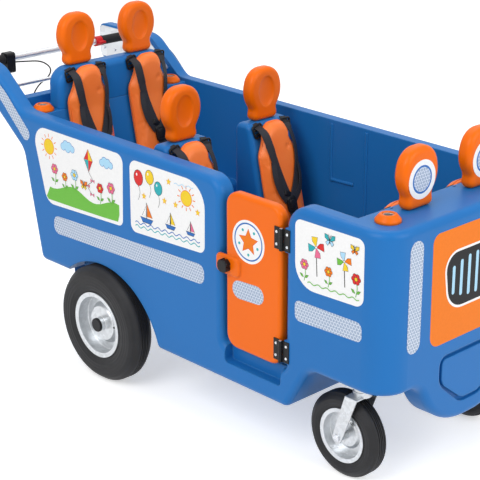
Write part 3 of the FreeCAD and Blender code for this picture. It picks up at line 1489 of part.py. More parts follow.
keep("tub_shell", make_tub())
keep("rear_backrest", make_backrest())
both_sides("middle_seat_left", "middle_seat_right", make_middle_seat())
make_seats()
make_sockets()
make_door()
make_hinges()
make_handle()
make_brake_lever()
make_rear_axle()
make_rear_wheel()
make_casters()
make_brake_cable()
check_and_export()
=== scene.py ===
import math

import bmesh
import bpy
from mathutils import Euler, Matrix, Vector
from mathutils.bvhtree import BVHTree


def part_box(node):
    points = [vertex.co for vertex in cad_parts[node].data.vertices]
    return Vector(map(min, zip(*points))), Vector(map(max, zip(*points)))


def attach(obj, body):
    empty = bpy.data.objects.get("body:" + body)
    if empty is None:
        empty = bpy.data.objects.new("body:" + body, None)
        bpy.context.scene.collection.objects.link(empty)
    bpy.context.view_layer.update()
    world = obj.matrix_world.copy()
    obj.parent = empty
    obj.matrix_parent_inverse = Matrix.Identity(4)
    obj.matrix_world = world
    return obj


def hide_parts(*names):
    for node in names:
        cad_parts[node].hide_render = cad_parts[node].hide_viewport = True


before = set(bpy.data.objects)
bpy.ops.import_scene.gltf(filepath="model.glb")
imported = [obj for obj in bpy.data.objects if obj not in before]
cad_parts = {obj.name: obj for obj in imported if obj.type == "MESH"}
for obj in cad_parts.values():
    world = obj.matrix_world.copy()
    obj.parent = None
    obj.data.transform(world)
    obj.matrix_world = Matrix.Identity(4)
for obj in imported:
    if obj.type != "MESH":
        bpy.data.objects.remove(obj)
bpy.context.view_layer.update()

# Studio: a pale floor that runs into a white surround, one large soft lamp over the
# bus's right shoulder and two weaker ones that open the shadows. The camera looks at
# the door side from before the nose.
CAMERA_PLACE = (3.289, -3.064, 2.115)
CAMERA_AZIMUTH, CAMERA_ELEVATION, CAMERA_ROLL = 45.39, 20.19, 0.23
LENS, SENSOR = 109.5, 36.0
CENTRE_X, CENTRE_Y, PICTURE = 263.6, 230.8, 480


def shown(name, data):
    """A new object in the scene."""
    thing = bpy.data.objects.new(name, data)
    bpy.context.collection.objects.link(thing)
    return thing


camera = shown("camera", bpy.data.cameras.new("camera"))
bpy.context.scene.camera = camera
camera.location = CAMERA_PLACE
aim = Euler((math.radians(90 - CAMERA_ELEVATION), 0, math.radians(CAMERA_AZIMUTH)))
roll = Matrix.Rotation(math.radians(CAMERA_ROLL), 4, "Z")
camera.rotation_euler = (aim.to_matrix().to_4x4() @ roll).to_euler()
camera.data.lens = LENS
camera.data.sensor_width = SENSOR
camera.data.shift_x = (PICTURE / 2 - CENTRE_X) / PICTURE
camera.data.shift_y = (CENTRE_Y - PICTURE / 2) / PICTURE
camera.data.clip_end = 100

bpy.context.scene.view_settings.view_transform = "Standard"


def new_finish(name):
    """An empty material, its node tree and its surface shader."""
    finish = bpy.data.materials.new(name)
    finish.use_nodes = True
    return finish, finish.node_tree, finish.node_tree.nodes["Principled BSDF"]


def feed(tree, socket, value):
    """Set a socket to a value, or link another node's output to it."""
    if isinstance(value, bpy.types.NodeSocket):
        tree.links.new(value, socket)
    else:
        socket.default_value = value


def tune(tree, made, **settings):
    """Set a node's properties, and its inputs, which are written with a capital."""
    for key, value in settings.items():
        if key[0].isupper():
            feed(tree, made.inputs[key.replace("_", " ")], value)
        else:
            setattr(made, key, value)
    return made


def node(tree, kind, **settings):
    """Add a shader node."""
    return tune(tree, tree.nodes.new("ShaderNode" + kind), **settings)


def maths(tree, operation, *values, kind="Math"):
    """A maths node on numbers, vectors or the outputs of other nodes."""
    made = node(tree, kind, operation=operation)
    for socket, value in zip(made.inputs, values):
        feed(tree, socket, value)
    single = kind == "Math" or operation in ("DOT_PRODUCT", "LENGTH")
    return made.outputs["Value" if single else "Vector"]


def seen_directly(tree):
    """1 where the surround shows or is mirrored, 0 where it only lights things."""
    ray = node(tree, "LightPath")
    return maths(tree, "MAXIMUM", ray.outputs["Is Camera Ray"], ray.outputs["Is Glossy Ray"])


FLOOR_GREY, FLOOR_LIFT, FLOOR_REACH, FLOOR_DROP = 0.9, 0.50, 30, 0.0005
floor_mesh = bpy.data.meshes.new("floor")
floor_mesh.from_pydata([(x * FLOOR_REACH, y * FLOOR_REACH, 0)
                        for x, y in ((-1, -1), (1, -1), (1, 1), (-1, 1))], [], [(0, 1, 2, 3)])
floor = shown("floor", floor_mesh)
floor.location.z = -FLOOR_DROP
floor_white, floor_tree, floor_shader = new_finish("floor_white")
tune(floor_tree, floor_shader, Base_Color=(FLOOR_GREY, FLOOR_GREY, FLOOR_GREY, 1), Roughness=0.9,
     Specular_IOR_Level=0.1, Emission_Color=(1, 1, 1, 1),
     Emission_Strength=maths(floor_tree, "MULTIPLY", seen_directly(floor_tree), FLOOR_LIFT))
floor_mesh.materials.append(floor_white)

SKY_LIGHT, SKY_SHOWN = 0.5, 1.0
world = bpy.data.worlds.new("studio_white")
bpy.context.scene.world = world
world.use_nodes = True
sky = world.node_tree
level = node(sky, "MapRange", Value=seen_directly(sky), To_Min=SKY_LIGHT, To_Max=SKY_SHOWN)
tune(sky, sky.nodes["Background"], Color=(1, 1, 1, 1), Strength=level.outputs[0])


def lamp(name, place, target, size, power):
    """A soft square lamp that looks at a target."""
    light = bpy.data.lights.new(name, "AREA")
    light.size, light.energy = size, power
    holder = shown(name, light)
    holder.location = place
    holder.rotation_euler = (Vector(target) - Vector(place)).to_track_quat("-Z", "Y").to_euler()


lamp("key_lamp", (1.0, -4.5, 4.5), (0, 0, 0.5), 3.5, 165)
lamp("fill_lamp", (4.5, 0.5, 3.0), (0.3, 0, 0.6), 3.0, 90)
lamp("top_lamp", (-1.0, 1.0, 5.0), (0, 0, 0.5), 4.0, 60)

# Tub: one hollow rotomoulded shell of blue polyethylene, with the middle seats and the
# rear backrest moulded apart and bolted in. The skin has the faint orange-peel of the
# mould, and the rolled edges carry a painted highlight that makes them a little paler.


def laid(tree, *textures):
    """Lay textures by the piece's own place, and return that place."""
    place = node(tree, "TexCoord").outputs["Object"]
    for texture in textures:
        tree.links.new(place, texture.inputs["Vector"])
    return place


def lit(colour, share, lift=0.0):
    """A colour made darker or paler."""
    return [min(1, c * share + lift) for c in colour]


def drifting(tree, factor, dark, light):
    """A colour between two, by a pattern; the first may come from another node."""
    first = dark if isinstance(dark, bpy.types.NodeSocket) else (*dark, 1)
    return node(tree, "Mix", data_type="RGBA", A=first, B=(*light, 1),
                Factor=factor).outputs["Result"]


def relief(tree, height, strength, distance, under=None):
    """A fine relief, over another one or a softened edge if given."""
    bump = node(tree, "Bump", Strength=strength, Distance=distance, Height=height)
    if under is not None:
        tree.links.new(under, bump.inputs["Normal"])
    return bump.outputs["Normal"]


def moulded(name, colour, pale, rough=0.36, grain=900.0, bump=0.05, soft_edge=0.006):
    """Moulded plastic: fine peel, slow drift of the colour, softened edges with a paler painted
    highlight.
    """
    finish, tree, shader = new_finish(name)
    drift = node(tree, "TexNoise", Scale=3.0, Detail=2.0).outputs["Fac"]
    peel = node(tree, "TexNoise", Scale=grain, Detail=2.0).outputs["Fac"]
    laid(tree, drift.node, peel.node)
    # At the rounded edges, where the softened normal turns from the true one, the colour is mixed
    # towards pale: a painted highlight along the rounds.
    soft = node(tree, "Bevel", samples=6, Radius=soft_edge).outputs["Normal"]
    flat = node(tree, "NewGeometry").outputs["Normal"]
    turn = maths(tree, "DOT_PRODUCT", soft, flat, kind="VectorMath")
    edge = node(tree, "MapRange", Value=turn, From_Min=0.985, From_Max=0.80, To_Max=0.45)
    shade = drifting(tree, drift, lit(colour, 0.94), lit(colour, 1.06))
    gloss = node(tree, "MapRange", Value=drift, To_Min=rough - 0.05, To_Max=rough + 0.08)
    tune(tree, shader, Base_Color=drifting(tree, edge.outputs[0], shade, pale),
         Normal=relief(tree, peel, bump, 0.002, soft), Roughness=gloss.outputs[0],
         Specular_IOR_Level=0.2)
    return finish


def dress(finish, *names):
    """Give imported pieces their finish; a name that ends in _ stands for all that start so."""
    for name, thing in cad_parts.items():
        if name in names or name.startswith(tuple(n for n in names if n.endswith("_"))):
            for place in thing.material_slots:
                place.material = finish


# The second tub colour is the painted highlight that the rounded edges are mixed towards.
TUB_BLUE, TUB_EDGE_HIGHLIGHT = (0.012, 0.156, 0.465), (0.07, 0.27, 0.60)
tub_blue = moulded("tub_blue", TUB_BLUE, TUB_EDGE_HIGHLIGHT)
dress(tub_blue, "tub_shell", "rear_backrest", "middle_seat_left", "middle_seat_right")

# Headrests, canopy sockets and door: moulded from the same plastic in orange. The
# headrests stand on the backrests with moulded feet, the door is a thin hollow leaf.
# The second orange is the painted highlight on the rounded edges.
ORANGE, ORANGE_EDGE_HIGHLIGHT = (0.86, 0.145, 0.0), (0.93, 0.25, 0.03)
shell_orange = moulded("shell_orange", ORANGE, ORANGE_EDGE_HIGHLIGHT, rough=0.33, soft_edge=0.010)
dress(shell_orange, "door_panel", "headrest_", "canopy_socket_")

# Cushions: a foam back with a domed top and flared flanks, and a square seat pad, each in
# one coated orange cover with a sewn cord round its edge, tied through the moulding.
SEAT_LEAN, PAD_THICK = 0.22, 0.0423
ROWS = {  # backrest's face, knee, knee bend, bench and top, then facing and centre
    "rear": (-0.545, 0.808, 0.016, 0.500, 0.944, 1, 0.131),
    "middle": (0.028, 0.809, 0, 0.380, 0.809, 1, 0.177),
    "front": (0.865, 0.808, 0, 0.380, 0.808, -1, 0.136),
}
SIDES = {"left": 1, "right": -1}
BACK_HEIGHT = 0.3867
BACK_OUTLINE = [(0.087, 0.002, 0.020), (0.087, 0.290, 0.040), (0.060, 0.336, 0.050),
                (0.055, 0.394, 0.050), (-0.055, 0.394, 0.050), (-0.060, 0.336, 0.050),
                (-0.087, 0.290, 0.040), (-0.087, 0.002, 0.020)]
PAD_DEPTH, PAD_BEND = 0.160, 0.027
PAD_OUTLINE = [(0.002, -0.083, 0.018), (0.158, -0.083, 0.024), (0.158, 0.083, 0.024),
               (0.002, 0.083, 0.018)]


def rounded(corners, steps=6):
    """An outline of (a, b, radius) corners as points, with the corners as arcs."""
    points = []
    for i, (a, b, radius) in enumerate(corners):
        here = Vector((a, b))
        back = (Vector(corners[i - 1][:2]) - here).normalized()
        ahead = (Vector(corners[(i + 1) % len(corners)][:2]) - here).normalized()
        half = back.angle(ahead) / 2
        centre = here + (back + ahead).normalized() * (radius / math.sin(half))
        start = here + back * (radius / math.tan(half)) - centre
        end = here + ahead * (radius / math.tan(half)) - centre
        sweep = math.atan2(start.cross(end), start.dot(end))
        for k in range(steps + 1):
            points.append(centre + Matrix.Rotation(sweep * k / steps, 2) @ start)
    return points


def stacked(rings, closed=False):
    """A form from equal rings of points: capped at both ends, or joined end to end."""
    count, last = len(rings[0]), len(rings)
    faces = [] if closed else [tuple(range(count)),
                               tuple(range(count * (last - 1), count * last))]
    for ring in range(last if closed else last - 1):
        here, ahead = ring * count, (ring + 1) % last * count
        for i in range(count):
            j = (i + 1) % count
            faces.append((here + i, here + j, ahead + j, ahead + i))
    return [point for ring in rings for point in ring], faces


def blown_up(points, faces, limit, voxel=0.005):
    """Reskin a closed form evenly and swell it by pressure, by no more than the limit."""
    scene = bpy.context.scene
    holder = shown("cover", bpy.data.meshes.new("cover"))
    holder.data.from_pydata(points, [], faces)

    def taken():
        view = holder.evaluated_get(bpy.context.evaluated_depsgraph_get())
        return bpy.data.meshes.new_from_object(view)

    skin = holder.modifiers.new("skin", "REMESH")
    skin.mode, skin.voxel_size = "VOXEL", voxel
    even = taken()
    holder.modifiers.clear()
    holder.data = even
    start = [v.co.copy() for v in even.vertices]
    end = start
    cloth = holder.modifiers.new("cloth", "CLOTH")
    cloth.settings.use_pressure = True
    cloth.settings.uniform_pressure_force = 4
    cloth.settings.effector_weights.gravity = 0
    for step in range(1, 21):
        scene.frame_set(step)
    end = [v.co.copy() for v in taken().vertices]
    scene.frame_set(1)
    holder.modifiers.clear()
    swollen = []
    for a, b in zip(start, end):
        move = b - a
        swollen.append(a + move * min(1, limit / max(move.length, 1e-9)))
    polygons = [tuple(p.vertices) for p in even.polygons]
    bpy.data.objects.remove(holder)
    return swollen, polygons


def add_piece(name, points, faces, finish, slot, body="chassis", crease=35, finer=0):
    """A mesh piece with its faces outwards, its finish and the body it moves with."""
    mesh = bpy.data.meshes.new(name)
    mesh.from_pydata(points, [], faces)
    form = bmesh.new()
    form.from_mesh(mesh)
    bmesh.ops.recalc_face_normals(form, faces=form.faces)
    form.to_mesh(mesh)
    form.free()
    mesh.shade_smooth()
    mesh.set_sharp_from_angle(angle=math.radians(crease))
    mesh.materials.append(finish)
    piece = shown(name, mesh)
    if finer:
        modifier = piece.modifiers.new("finer", "SUBSURF")
        modifier.levels = modifier.render_levels = finer
    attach(piece, body)
    return piece


def merged(*parts):
    """Several (points, faces) forms as one."""
    points, faces = [], []
    for some_points, some_faces in parts:
        start = len(points)
        points += some_points
        faces += [tuple(i + start for i in face) for face in some_faces]
    return points, faces


def heading(line, i, closed=False):
    """The direction of a line at its point i."""
    before = line[i - 1] if closed or i else line[i]
    after = line[(i + 1) % len(line)] if closed or i + 1 < len(line) else line[i]
    return (Vector(after) - Vector(before)).normalized()


def ring(centre, turn, radius, height, sides):
    """Points round an axis, at a height along it."""
    angles = [math.tau * k / sides for k in range(sides)]
    return [Vector(centre) + turn @ Vector((radius * math.cos(a), radius * math.sin(a), height))
            for a in angles]


def tube(path, radius, closed=False, sides=8):
    """A round bar along a path of points."""
    return stacked([ring(here, heading(path, i, closed).to_track_quat("Z", "Y"), radius, 0, sides)
                    for i, here in enumerate(path)], closed)


def coated_cloth(name, colour, pale):
    """Coated upholstery cloth: leathery grain, soft clouding, a dull sheen."""
    finish, tree, shader = new_finish(name)
    cloud = node(tree, "TexNoise", Scale=14.0, Detail=3.0)
    pebble = node(tree, "TexVoronoi", Scale=650.0)
    ripple = node(tree, "TexNoise", Scale=45.0, Detail=3.0, Distortion=0.6)
    laid(tree, cloud, pebble, ripple)
    low = relief(tree, ripple.outputs["Fac"], 0.12, 0.004)
    tune(tree, shader, Base_Color=drifting(tree, cloud.outputs["Fac"], colour, pale),
         Normal=relief(tree, pebble.outputs["Distance"], 0.10, 0.0006, low), Roughness=0.46,
         Sheen_Weight=0.15, Sheen_Roughness=0.4, Sheen_Tint=(1.0, 0.60, 0.35, 1))
    return finish


def on_seat(row, side, point):
    """From a seat back's own across, up and out to the bus's frame."""
    face, knee, bend, bench, top, facing, centre = ROWS[row]
    across, up, out = point
    height = bench + PAD_THICK + up * (top - bench - PAD_THICK) / BACK_HEIGHT
    drop = knee - height
    run = SEAT_LEAN * (drop + math.hypot(drop, bend)) / 2
    return Vector((face + facing * (run + out), side * centre + facing * across, height))


def on_bench(row, side, point):
    """From a seat pad's own forward, across and up to the bus's frame."""
    face, knee, _bend, bench, _top, facing, centre = ROWS[row]
    ahead, across, up = point
    start = (knee - bench) * SEAT_LEAN + PAD_BEND
    return Vector((face + facing * (start + ahead), side * centre + facing * across, bench + up))


def flank(point):
    """How far the sloping edge reaches in: narrow round the dome, wide lower down."""
    return 0.5 + 0.5 * min(1, max(0, (BACK_HEIGHT - 0.04 - point.y) / 0.14))


def dent(point, start, end, width, depth):
    """Depth of a soft crease along a line at a place on the cushion's face."""
    a, b, p = Vector(start), Vector(end), Vector(point[:2])
    along = max(0, min(1, (p - a).dot(b - a) / (b - a).length_squared))
    away = (p - a.lerp(b, along)).length
    return depth * math.exp(-(away / width) ** 2) * math.sin(math.pi * (0.15 + 0.7 * along))


back_edge = rounded(BACK_OUTLINE)
back_core = [Vector((0, min(max(p.y, 0.07), BACK_HEIGHT - 0.045))) for p in back_edge]
BACK_LAYERS = [(0.92, 0.001), (0.10, 0.001), (0.03, 0.004), (0.0, 0.010), (0.03, 0.017),
               (0.18, 0.025), (0.32, 0.031), (0.42, 0.034), (0.62, 0.0355), (0.92, 0.036)]
FLANK_FROM, BACK_SWELL, PAD_SWELL = 0.02, 0.005, 0.004
back_points, back_faces = blown_up(*stacked(
    [[(*p.lerp(core, share * flank(p) if out > FLANK_FROM else share), out)
      for p, core in zip(back_edge, back_core)] for share, out in BACK_LAYERS]), BACK_SWELL)
CREASES = [((-0.06, 0.02), (-0.01, 0.075), 0.008, 0.0030),
           ((0.065, 0.03), (0.02, 0.11), 0.007, 0.0026),
           ((-0.07, 0.10), (-0.045, 0.17), 0.006, 0.0022),
           ((-0.035, 0.012), (0.035, 0.022), 0.006, 0.0022)]
BUTTON, BUTTON_WIDTH, BUTTON_DEPTH = (0.028, BACK_HEIGHT - 0.080), 0.008, 0.0035
CREASED_FROM = 0.015
for point in back_points:
    if point.z > CREASED_FROM:
        for crease in CREASES:
            point.z -= dent(point, *crease)
        away = math.hypot(point.x - BUTTON[0], point.y - BUTTON[1])
        point.z -= BUTTON_DEPTH * math.exp(-(away / BUTTON_WIDTH) ** 2)

pad_edge = rounded(PAD_OUTLINE)
pad_core = Vector((PAD_DEPTH / 2, 0))
PAD_LAYERS = [(0.9, 0.001), (0.10, 0.001), (0.03, 0.005), (0.01, 0.013), (0.02, 0.024),
              (0.10, 0.031), (0.25, 0.035), (0.55, 0.037), (0.92, 0.038)]
pad_points, pad_faces = blown_up(*stacked(
    [[(*p.lerp(pad_core, share), out) for p in pad_edge] for share, out in PAD_LAYERS]),
    PAD_SWELL)
SEATED = 0.0005
for points in (back_points, pad_points):
    for point in points:
        point.z = max(point.z, SEATED)

CORD_RADIUS, CORD_HEIGHT, CORD_PROUD = 0.0020, 0.017, 0.0004
cover_tree = BVHTree.FromPolygons(back_points, back_faces)
sewn_edge = []
for place in back_edge:
    on_cover, away = cover_tree.find_nearest(Vector((*place, CORD_HEIGHT)))[:2]
    sewn_edge.append(on_cover + away * CORD_PROUD)

cushion_cloth = coated_cloth("cushion_cloth", (0.93, 0.165, 0.012), (0.99, 0.240, 0.040))
for row in ROWS:
    for label, side in SIDES.items():
        back = [on_seat(row, side, p) for p in back_points]
        pad = [on_bench(row, side, p) for p in pad_points]
        cushion = merged((back, back_faces), (pad, pad_faces))
        piece = add_piece(f"cushion_{row}_{label}", *cushion, cushion_cloth, "cushion_vinyl",
                          crease=60, finer=1)
        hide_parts(f"seat_cushion_{row}_{label}")
        edge = [on_seat(row, side, p) for p in sewn_edge]
        add_piece(f"edge_cord_{row}_{label}", *tube(edge, CORD_RADIUS, closed=True),
                  cushion_cloth, "cushion_vinyl", crease=60)

# Harnesses: black polyester webbing, two shoulder straps from ladder locks at the top of
# each back to a buckle at the waist, a spare loop behind each, and a strap between the
# legs into a slot of the seat pad.
WEB_WIDTH, LOOP_WIDTH, WEB_THICK = 0.026, 0.019, 0.0022
WEB_SECTION = ((-1, -1), (0, -0.9), (1, -1), (1.03, 0), (1, 1), (0, 1.2), (-1, 1), (-1.03, 0))
STEEPEST_SIDE, RAY_HEIGHT = 0.5, 0.2


def through(points, steps=7):
    """A smooth line through points."""
    line, last = [], len(points) - 1
    for i in range(last):
        a, b, c, d = (Vector(points[max(0, min(last, k))]) for k in (i - 1, i, i + 1, i + 2))
        for s in range(steps):
            t = s / steps
            line.append(0.5 * (2 * b + (c - a) * t + (2 * a - 5 * b + 4 * c - d) * t * t
                               + (3 * b - a - 3 * c + d) * t ** 3))
    return line + [Vector(points[-1])]


def cushion_height(across, up):
    """How far the cushion stands out at a place of the seat back."""
    hit = cover_tree.ray_cast(Vector((across, up, RAY_HEIGHT)), Vector((0, 0, -1)))[0]
    return hit.z if hit else 0.0


def ribbon(line, sides, width):
    """Flat webbing along a line; sides are the directions across it."""
    rings = []
    for i, (here, side) in enumerate(zip(line, sides)):
        out = side.cross(heading(line, i)).normalized()
        rings.append([here + side * (a * width / 2) + out * (b * WEB_THICK / 2)
                      for a, b in WEB_SECTION])
    return stacked(rings)


def laid_web(path, width):
    """Webbing that lies on a seat back: across, up and how far it lifts, at each point."""
    flat = through(path)
    sides, heights = [], []
    for i, here in enumerate(flat):
        ahead = heading(flat, i)
        side = Vector((ahead.y, -ahead.x, 0)).normalized()
        ends = [cushion_height(*(here + side * (s * width / 2))[:2]) for s in (-1, 0, 1)]
        side.z = max(-STEEPEST_SIDE, min(STEEPEST_SIDE, (ends[2] - ends[0]) / width))
        tip = side.z * width / 2
        heights.append(max(ends[1], ends[0] + tip, ends[2] - tip))
        sides.append(side.normalized())
    bridged = [max(heights[max(0, i - 2):i + 3]) for i in range(len(flat))]
    line = []
    for i, here in enumerate(flat):
        near = bridged[max(0, i - 2):i + 3]
        line.append(Vector((here.x, here.y, sum(near) / len(near) + here.z + WEB_THICK)))
    return ribbon(line, sides, width)


SHOULDER_WEBS = [
    ([(-0.064, 0.384, -0.012), (-0.060, 0.366, 0.001), (-0.049, 0.300, 0.001),
      (-0.031, 0.228, 0.001), (-0.013, 0.166, 0.003), (-0.004, 0.142, 0.006)], WEB_WIDTH),
    ([(0.068, 0.386, -0.012), (0.066, 0.366, 0.001), (0.063, 0.300, 0.001),
      (0.052, 0.232, 0.001), (0.031, 0.176, 0.003), (0.009, 0.144, 0.006)], WEB_WIDTH),
    ([(-0.047, 0.268, 0.000), (-0.052, 0.222, 0.006), (-0.042, 0.175, 0.006),
      (-0.016, 0.134, 0.003)], LOOP_WIDTH),
    ([(0.058, 0.262, 0.000), (0.061, 0.216, 0.006), (0.048, 0.170, 0.006),
      (0.018, 0.132, 0.003)], LOOP_WIDTH),
    ([(0.008, 0.112, 0.005), (0.022, 0.086, 0.010), (0.040, 0.064, 0.004),
      (0.046, 0.052, 0.001)], LOOP_WIDTH),
]
CROTCH_WEB = [(0, 0.105, 0.049), (0, 0.060, 0.056), (0, 0.026, 0.070), (0, 0.006, 0.090),
              (0, -0.001, 0.104)]
crotch_line = through(CROTCH_WEB)
webs = merged(*[laid_web(path, width) for path, width in SHOULDER_WEBS],
              ribbon(crotch_line, [Vector((1, 0, 0))] * len(crotch_line), WEB_WIDTH))


def placed(form, across, up, tilt, lift):
    """A small fitting laid on the seat back, turned by tilt degrees."""
    points, faces = form
    turn = Matrix.Rotation(math.radians(tilt), 3, "Z")
    height = cushion_height(across, up) + lift
    return [turn @ Vector(p) + Vector((across, up, height)) for p in points], faces


def plate_edge(half_wide, half_high, corner, steps=6):
    """The outline of an upright oblong plate with round corners."""
    return rounded([(half_wide, -half_high, corner), (half_wide, half_high, corner),
                    (-half_wide, half_high, corner), (-half_wide, -half_high, corner)], steps)


def plate(edge, layers):
    """A plate with a stepped face: layers of (share in to the middle, height)."""
    return stacked([[(*(p * (1 - share)), out) for p in edge] for share, out in layers])


LOCK_RADIUS, BAR_RADIUS, BAR_HALF = 0.0034, 0.0030, 0.0195
lock_path = [(*p, 0) for p in plate_edge(0.0200, 0.0190, 0.006, 3)]
lock_bars = [tube([(-BAR_HALF, up, out), (BAR_HALF, up, out)], BAR_RADIUS)
             for up, out in ((-0.007, 0.0030), (0.007, 0.0024))]
ladder_lock = merged(tube(lock_path, LOCK_RADIUS, closed=True), *lock_bars)
BUCKLE_LAYERS = [(0.10, 0), (0, 0.002), (0, 0.008), (0.06, 0.0105), (0.30, 0.0115),
                 (0.33, 0.0100), (0.38, 0.0100), (0.41, 0.0125), (0.50, 0.0135), (0.95, 0.0140)]
KEEPER_LAYERS = [(0.1, 0), (0, 0.002), (0, 0.005), (0.2, 0.0065), (0.95, 0.0067)]
buckle = plate(plate_edge(0.020, 0.027, 0.011), BUCKLE_LAYERS)
keeper = plate(plate_edge(0.0135, 0.009, 0.004), KEEPER_LAYERS)
fittings = merged(placed(ladder_lock, -0.060, 0.364, 14, 0.004),
                  placed(ladder_lock, 0.065, 0.364, -3, 0.004),
                  placed(buckle, 0.002, 0.124, 4, 0.002),
                  placed(keeper, -0.012, 0.161, -26, 0.004))


def woven(name, colour, pale, pitch):
    """Webbing: ribs across and along, and a faint fraying of the colour."""
    finish, tree, shader = new_finish(name)
    fibre = node(tree, "TexNoise", Scale=260.0, Detail=3.0)
    split = node(tree, "SeparateXYZ")
    laid(tree, fibre, split)
    ribs = [maths(tree, "SINE", maths(tree, "MULTIPLY", split.outputs[axis], math.tau / pitch))
            for axis in "YZ"]
    tune(tree, shader, Base_Color=drifting(tree, fibre.outputs["Fac"], colour, pale),
         Normal=relief(tree, maths(tree, "MULTIPLY", *ribs), 0.35, 0.0005), Roughness=0.62,
         Specular_IOR_Level=0.35)
    return finish


black_web = woven("black_web", (0.008, 0.009, 0.013), (0.030, 0.031, 0.040), 0.0016)
# Its second colour is the painted highlight on the rounded edges.
black_plastic = moulded("black_plastic", (0.010, 0.010, 0.012), (0.05, 0.05, 0.055), rough=0.35,
                        soft_edge=0.002)
for row in ROWS:
    for part, form, finish, slot in (("webbing", webs, black_web, "webbing"),
                                     ("buckles", fittings, black_plastic, "black_plastic")):
        both = merged(*[([on_seat(row, side, p) for p in form[0]], form[1])
                        for side in SIDES.values()])
        piece = add_piece(f"harness_{part}_{row}", *both, finish, slot, crease=40)
        if part == "webbing":
            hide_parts(f"harness_{row}")

# Door fittings: a black notched knob turns the latch tongue behind the door's ear, and
# two enamelled hinges hold the other edge, each leaf by two plated socket screws.


def turned(profile, centre, axis, sides):
    """A form turned round an axis: profile of (radius, height)."""
    turn = Vector(axis).to_track_quat("Z", "Y")
    return stacked([ring(centre, turn, radius, height, sides) for radius, height in profile])


def plated(name, colour, rough, spangle=60.0):
    """Zinc-plated or galvanised steel: dull bright patches over fine scratches."""
    finish, tree, shader = new_finish(name)
    patch = node(tree, "TexVoronoi", Scale=spangle).outputs["Color"]
    scratch = node(tree, "TexNoise", Scale=320.0, Detail=4.0).outputs["Fac"]
    laid(tree, patch.node, scratch.node)
    soft = node(tree, "Bevel", samples=4, Radius=0.0015).outputs["Normal"]
    gloss = node(tree, "MapRange", Value=scratch, To_Min=rough - 0.06, To_Max=rough + 0.12)
    tune(tree, shader, Base_Color=drifting(tree, patch, lit(colour, 0.86), lit(colour, 1.1)),
         Normal=relief(tree, scratch, 0.07, 0.0004, soft), Roughness=gloss.outputs[0],
         Metallic=0.85)
    return finish


bright_zinc = plated("bright_zinc", (0.66, 0.68, 0.71), 0.24)
SCREW_PROFILE = [(0.0044, -0.0006), (0.0044, 0.0008), (0.0039, 0.0016), (0.0026, 0.0019),
                 (0.0024, 0.0009), (0.0002, 0.0008)]
LEAF_FACE, SCREW_HEIGHTS = -0.377, (0.345, 0.382, 0.683, 0.720)
for body, leaf_x, name in (("door", 0.6165, "door_leaf_screws"),
                           ("chassis", 0.657, "frame_leaf_screws")):
    heads = merged(*[turned(SCREW_PROFILE, (leaf_x, LEAF_FACE, z), (0, -1, 0), 18)
                     for z in SCREW_HEIGHTS])
    add_piece(name, *heads, bright_zinc, "galvanised_steel", body=body, crease=30)
# Its second colour is the painted highlight on the rounded edges.
black_enamel = moulded("black_enamel", (0.009, 0.009, 0.010), (0.06, 0.06, 0.06), rough=0.32,
                       grain=400.0, bump=0.03, soft_edge=0.0015)
dress(black_enamel, "hinge_door_leaves", "hinge_frame_leaves", "latch_tongue")
dress(black_plastic, "door_knob")
dress(bright_zinc, "hinge_pins")

# Push handle: a bent steel bar bolted between two plates on the tub's rear arms, with
# foam-rubber grips, a brake lever with its cable, and a red catch for the parking brake.
silver_steel = plated("silver_steel", (0.70, 0.72, 0.75), 0.30, spangle=25.0)
dress(silver_steel, "handle_", "handlebar", "cross_tube", "canopy_tubes")
# Its second colour is the painted highlight on the rounded edges.
soft_grip = moulded("soft_grip", (0.014, 0.014, 0.016), (0.05, 0.05, 0.05), rough=0.6,
                    grain=500.0, bump=0.25, soft_edge=0.002)
dress(soft_grip, "grip_")
dress(black_plastic, "brake_lever", "brake_lever_perch", "brake_cable")
# Its second colour is the painted highlight on the rounded edges.
catch_red = moulded("catch_red", (0.62, 0.010, 0.016), (0.80, 0.10, 0.10), rough=0.3,
                    soft_edge=0.003)
dress(catch_red, "parking_latch")

# Rear axle and wheels: a steel axle under two brackets, drum brakes beside the brackets,
# and spun galvanised rims with black caps, rubber valves pushed in from behind, and
# air-filled tyres with fine grooves.
galvanised = plated("galvanised", (0.60, 0.62, 0.64), 0.36, spangle=140.0)
dress(galvanised, "rear_axle", "axle_brackets", "brake_drum_", "brake_plates",
      "front_crossbeam")
rim_zinc = plated("rim_zinc", (0.62, 0.64, 0.66), 0.30, spangle=90.0)
dress(rim_zinc, "rear_rim_", "caster_rim_")
dress(black_plastic, "hub_cap_")


def tyre_rubber(name, hub, pitch):
    """Black tyre rubber: moulded rings round the sidewall and a dusty bloom."""
    finish, tree, shader = new_finish(name)
    bloom = node(tree, "TexNoise", Scale=22.0, Detail=5.0).outputs["Fac"]
    grit = node(tree, "TexNoise", Scale=700.0, Detail=2.0).outputs["Fac"]
    place = laid(tree, bloom.node, grit.node)
    from_hub = maths(tree, "SUBTRACT", place, (hub[0], 0, hub[1]), kind="VectorMath")
    flat = maths(tree, "MULTIPLY", from_hub, (1, 0, 1), kind="VectorMath")
    reach = maths(tree, "LENGTH", flat, kind="VectorMath")
    rings = maths(tree, "SINE", maths(tree, "MULTIPLY", reach, math.tau / pitch))
    shade = drifting(tree, bloom, (0.009, 0.009, 0.010), (0.024, 0.024, 0.027))
    wide = relief(tree, rings, 0.22, 0.0012)
    tune(tree, shader, Base_Color=shade, Normal=relief(tree, grit, 0.15, 0.0004, wide),
         Roughness=0.58, Specular_IOR_Level=0.3)
    return finish


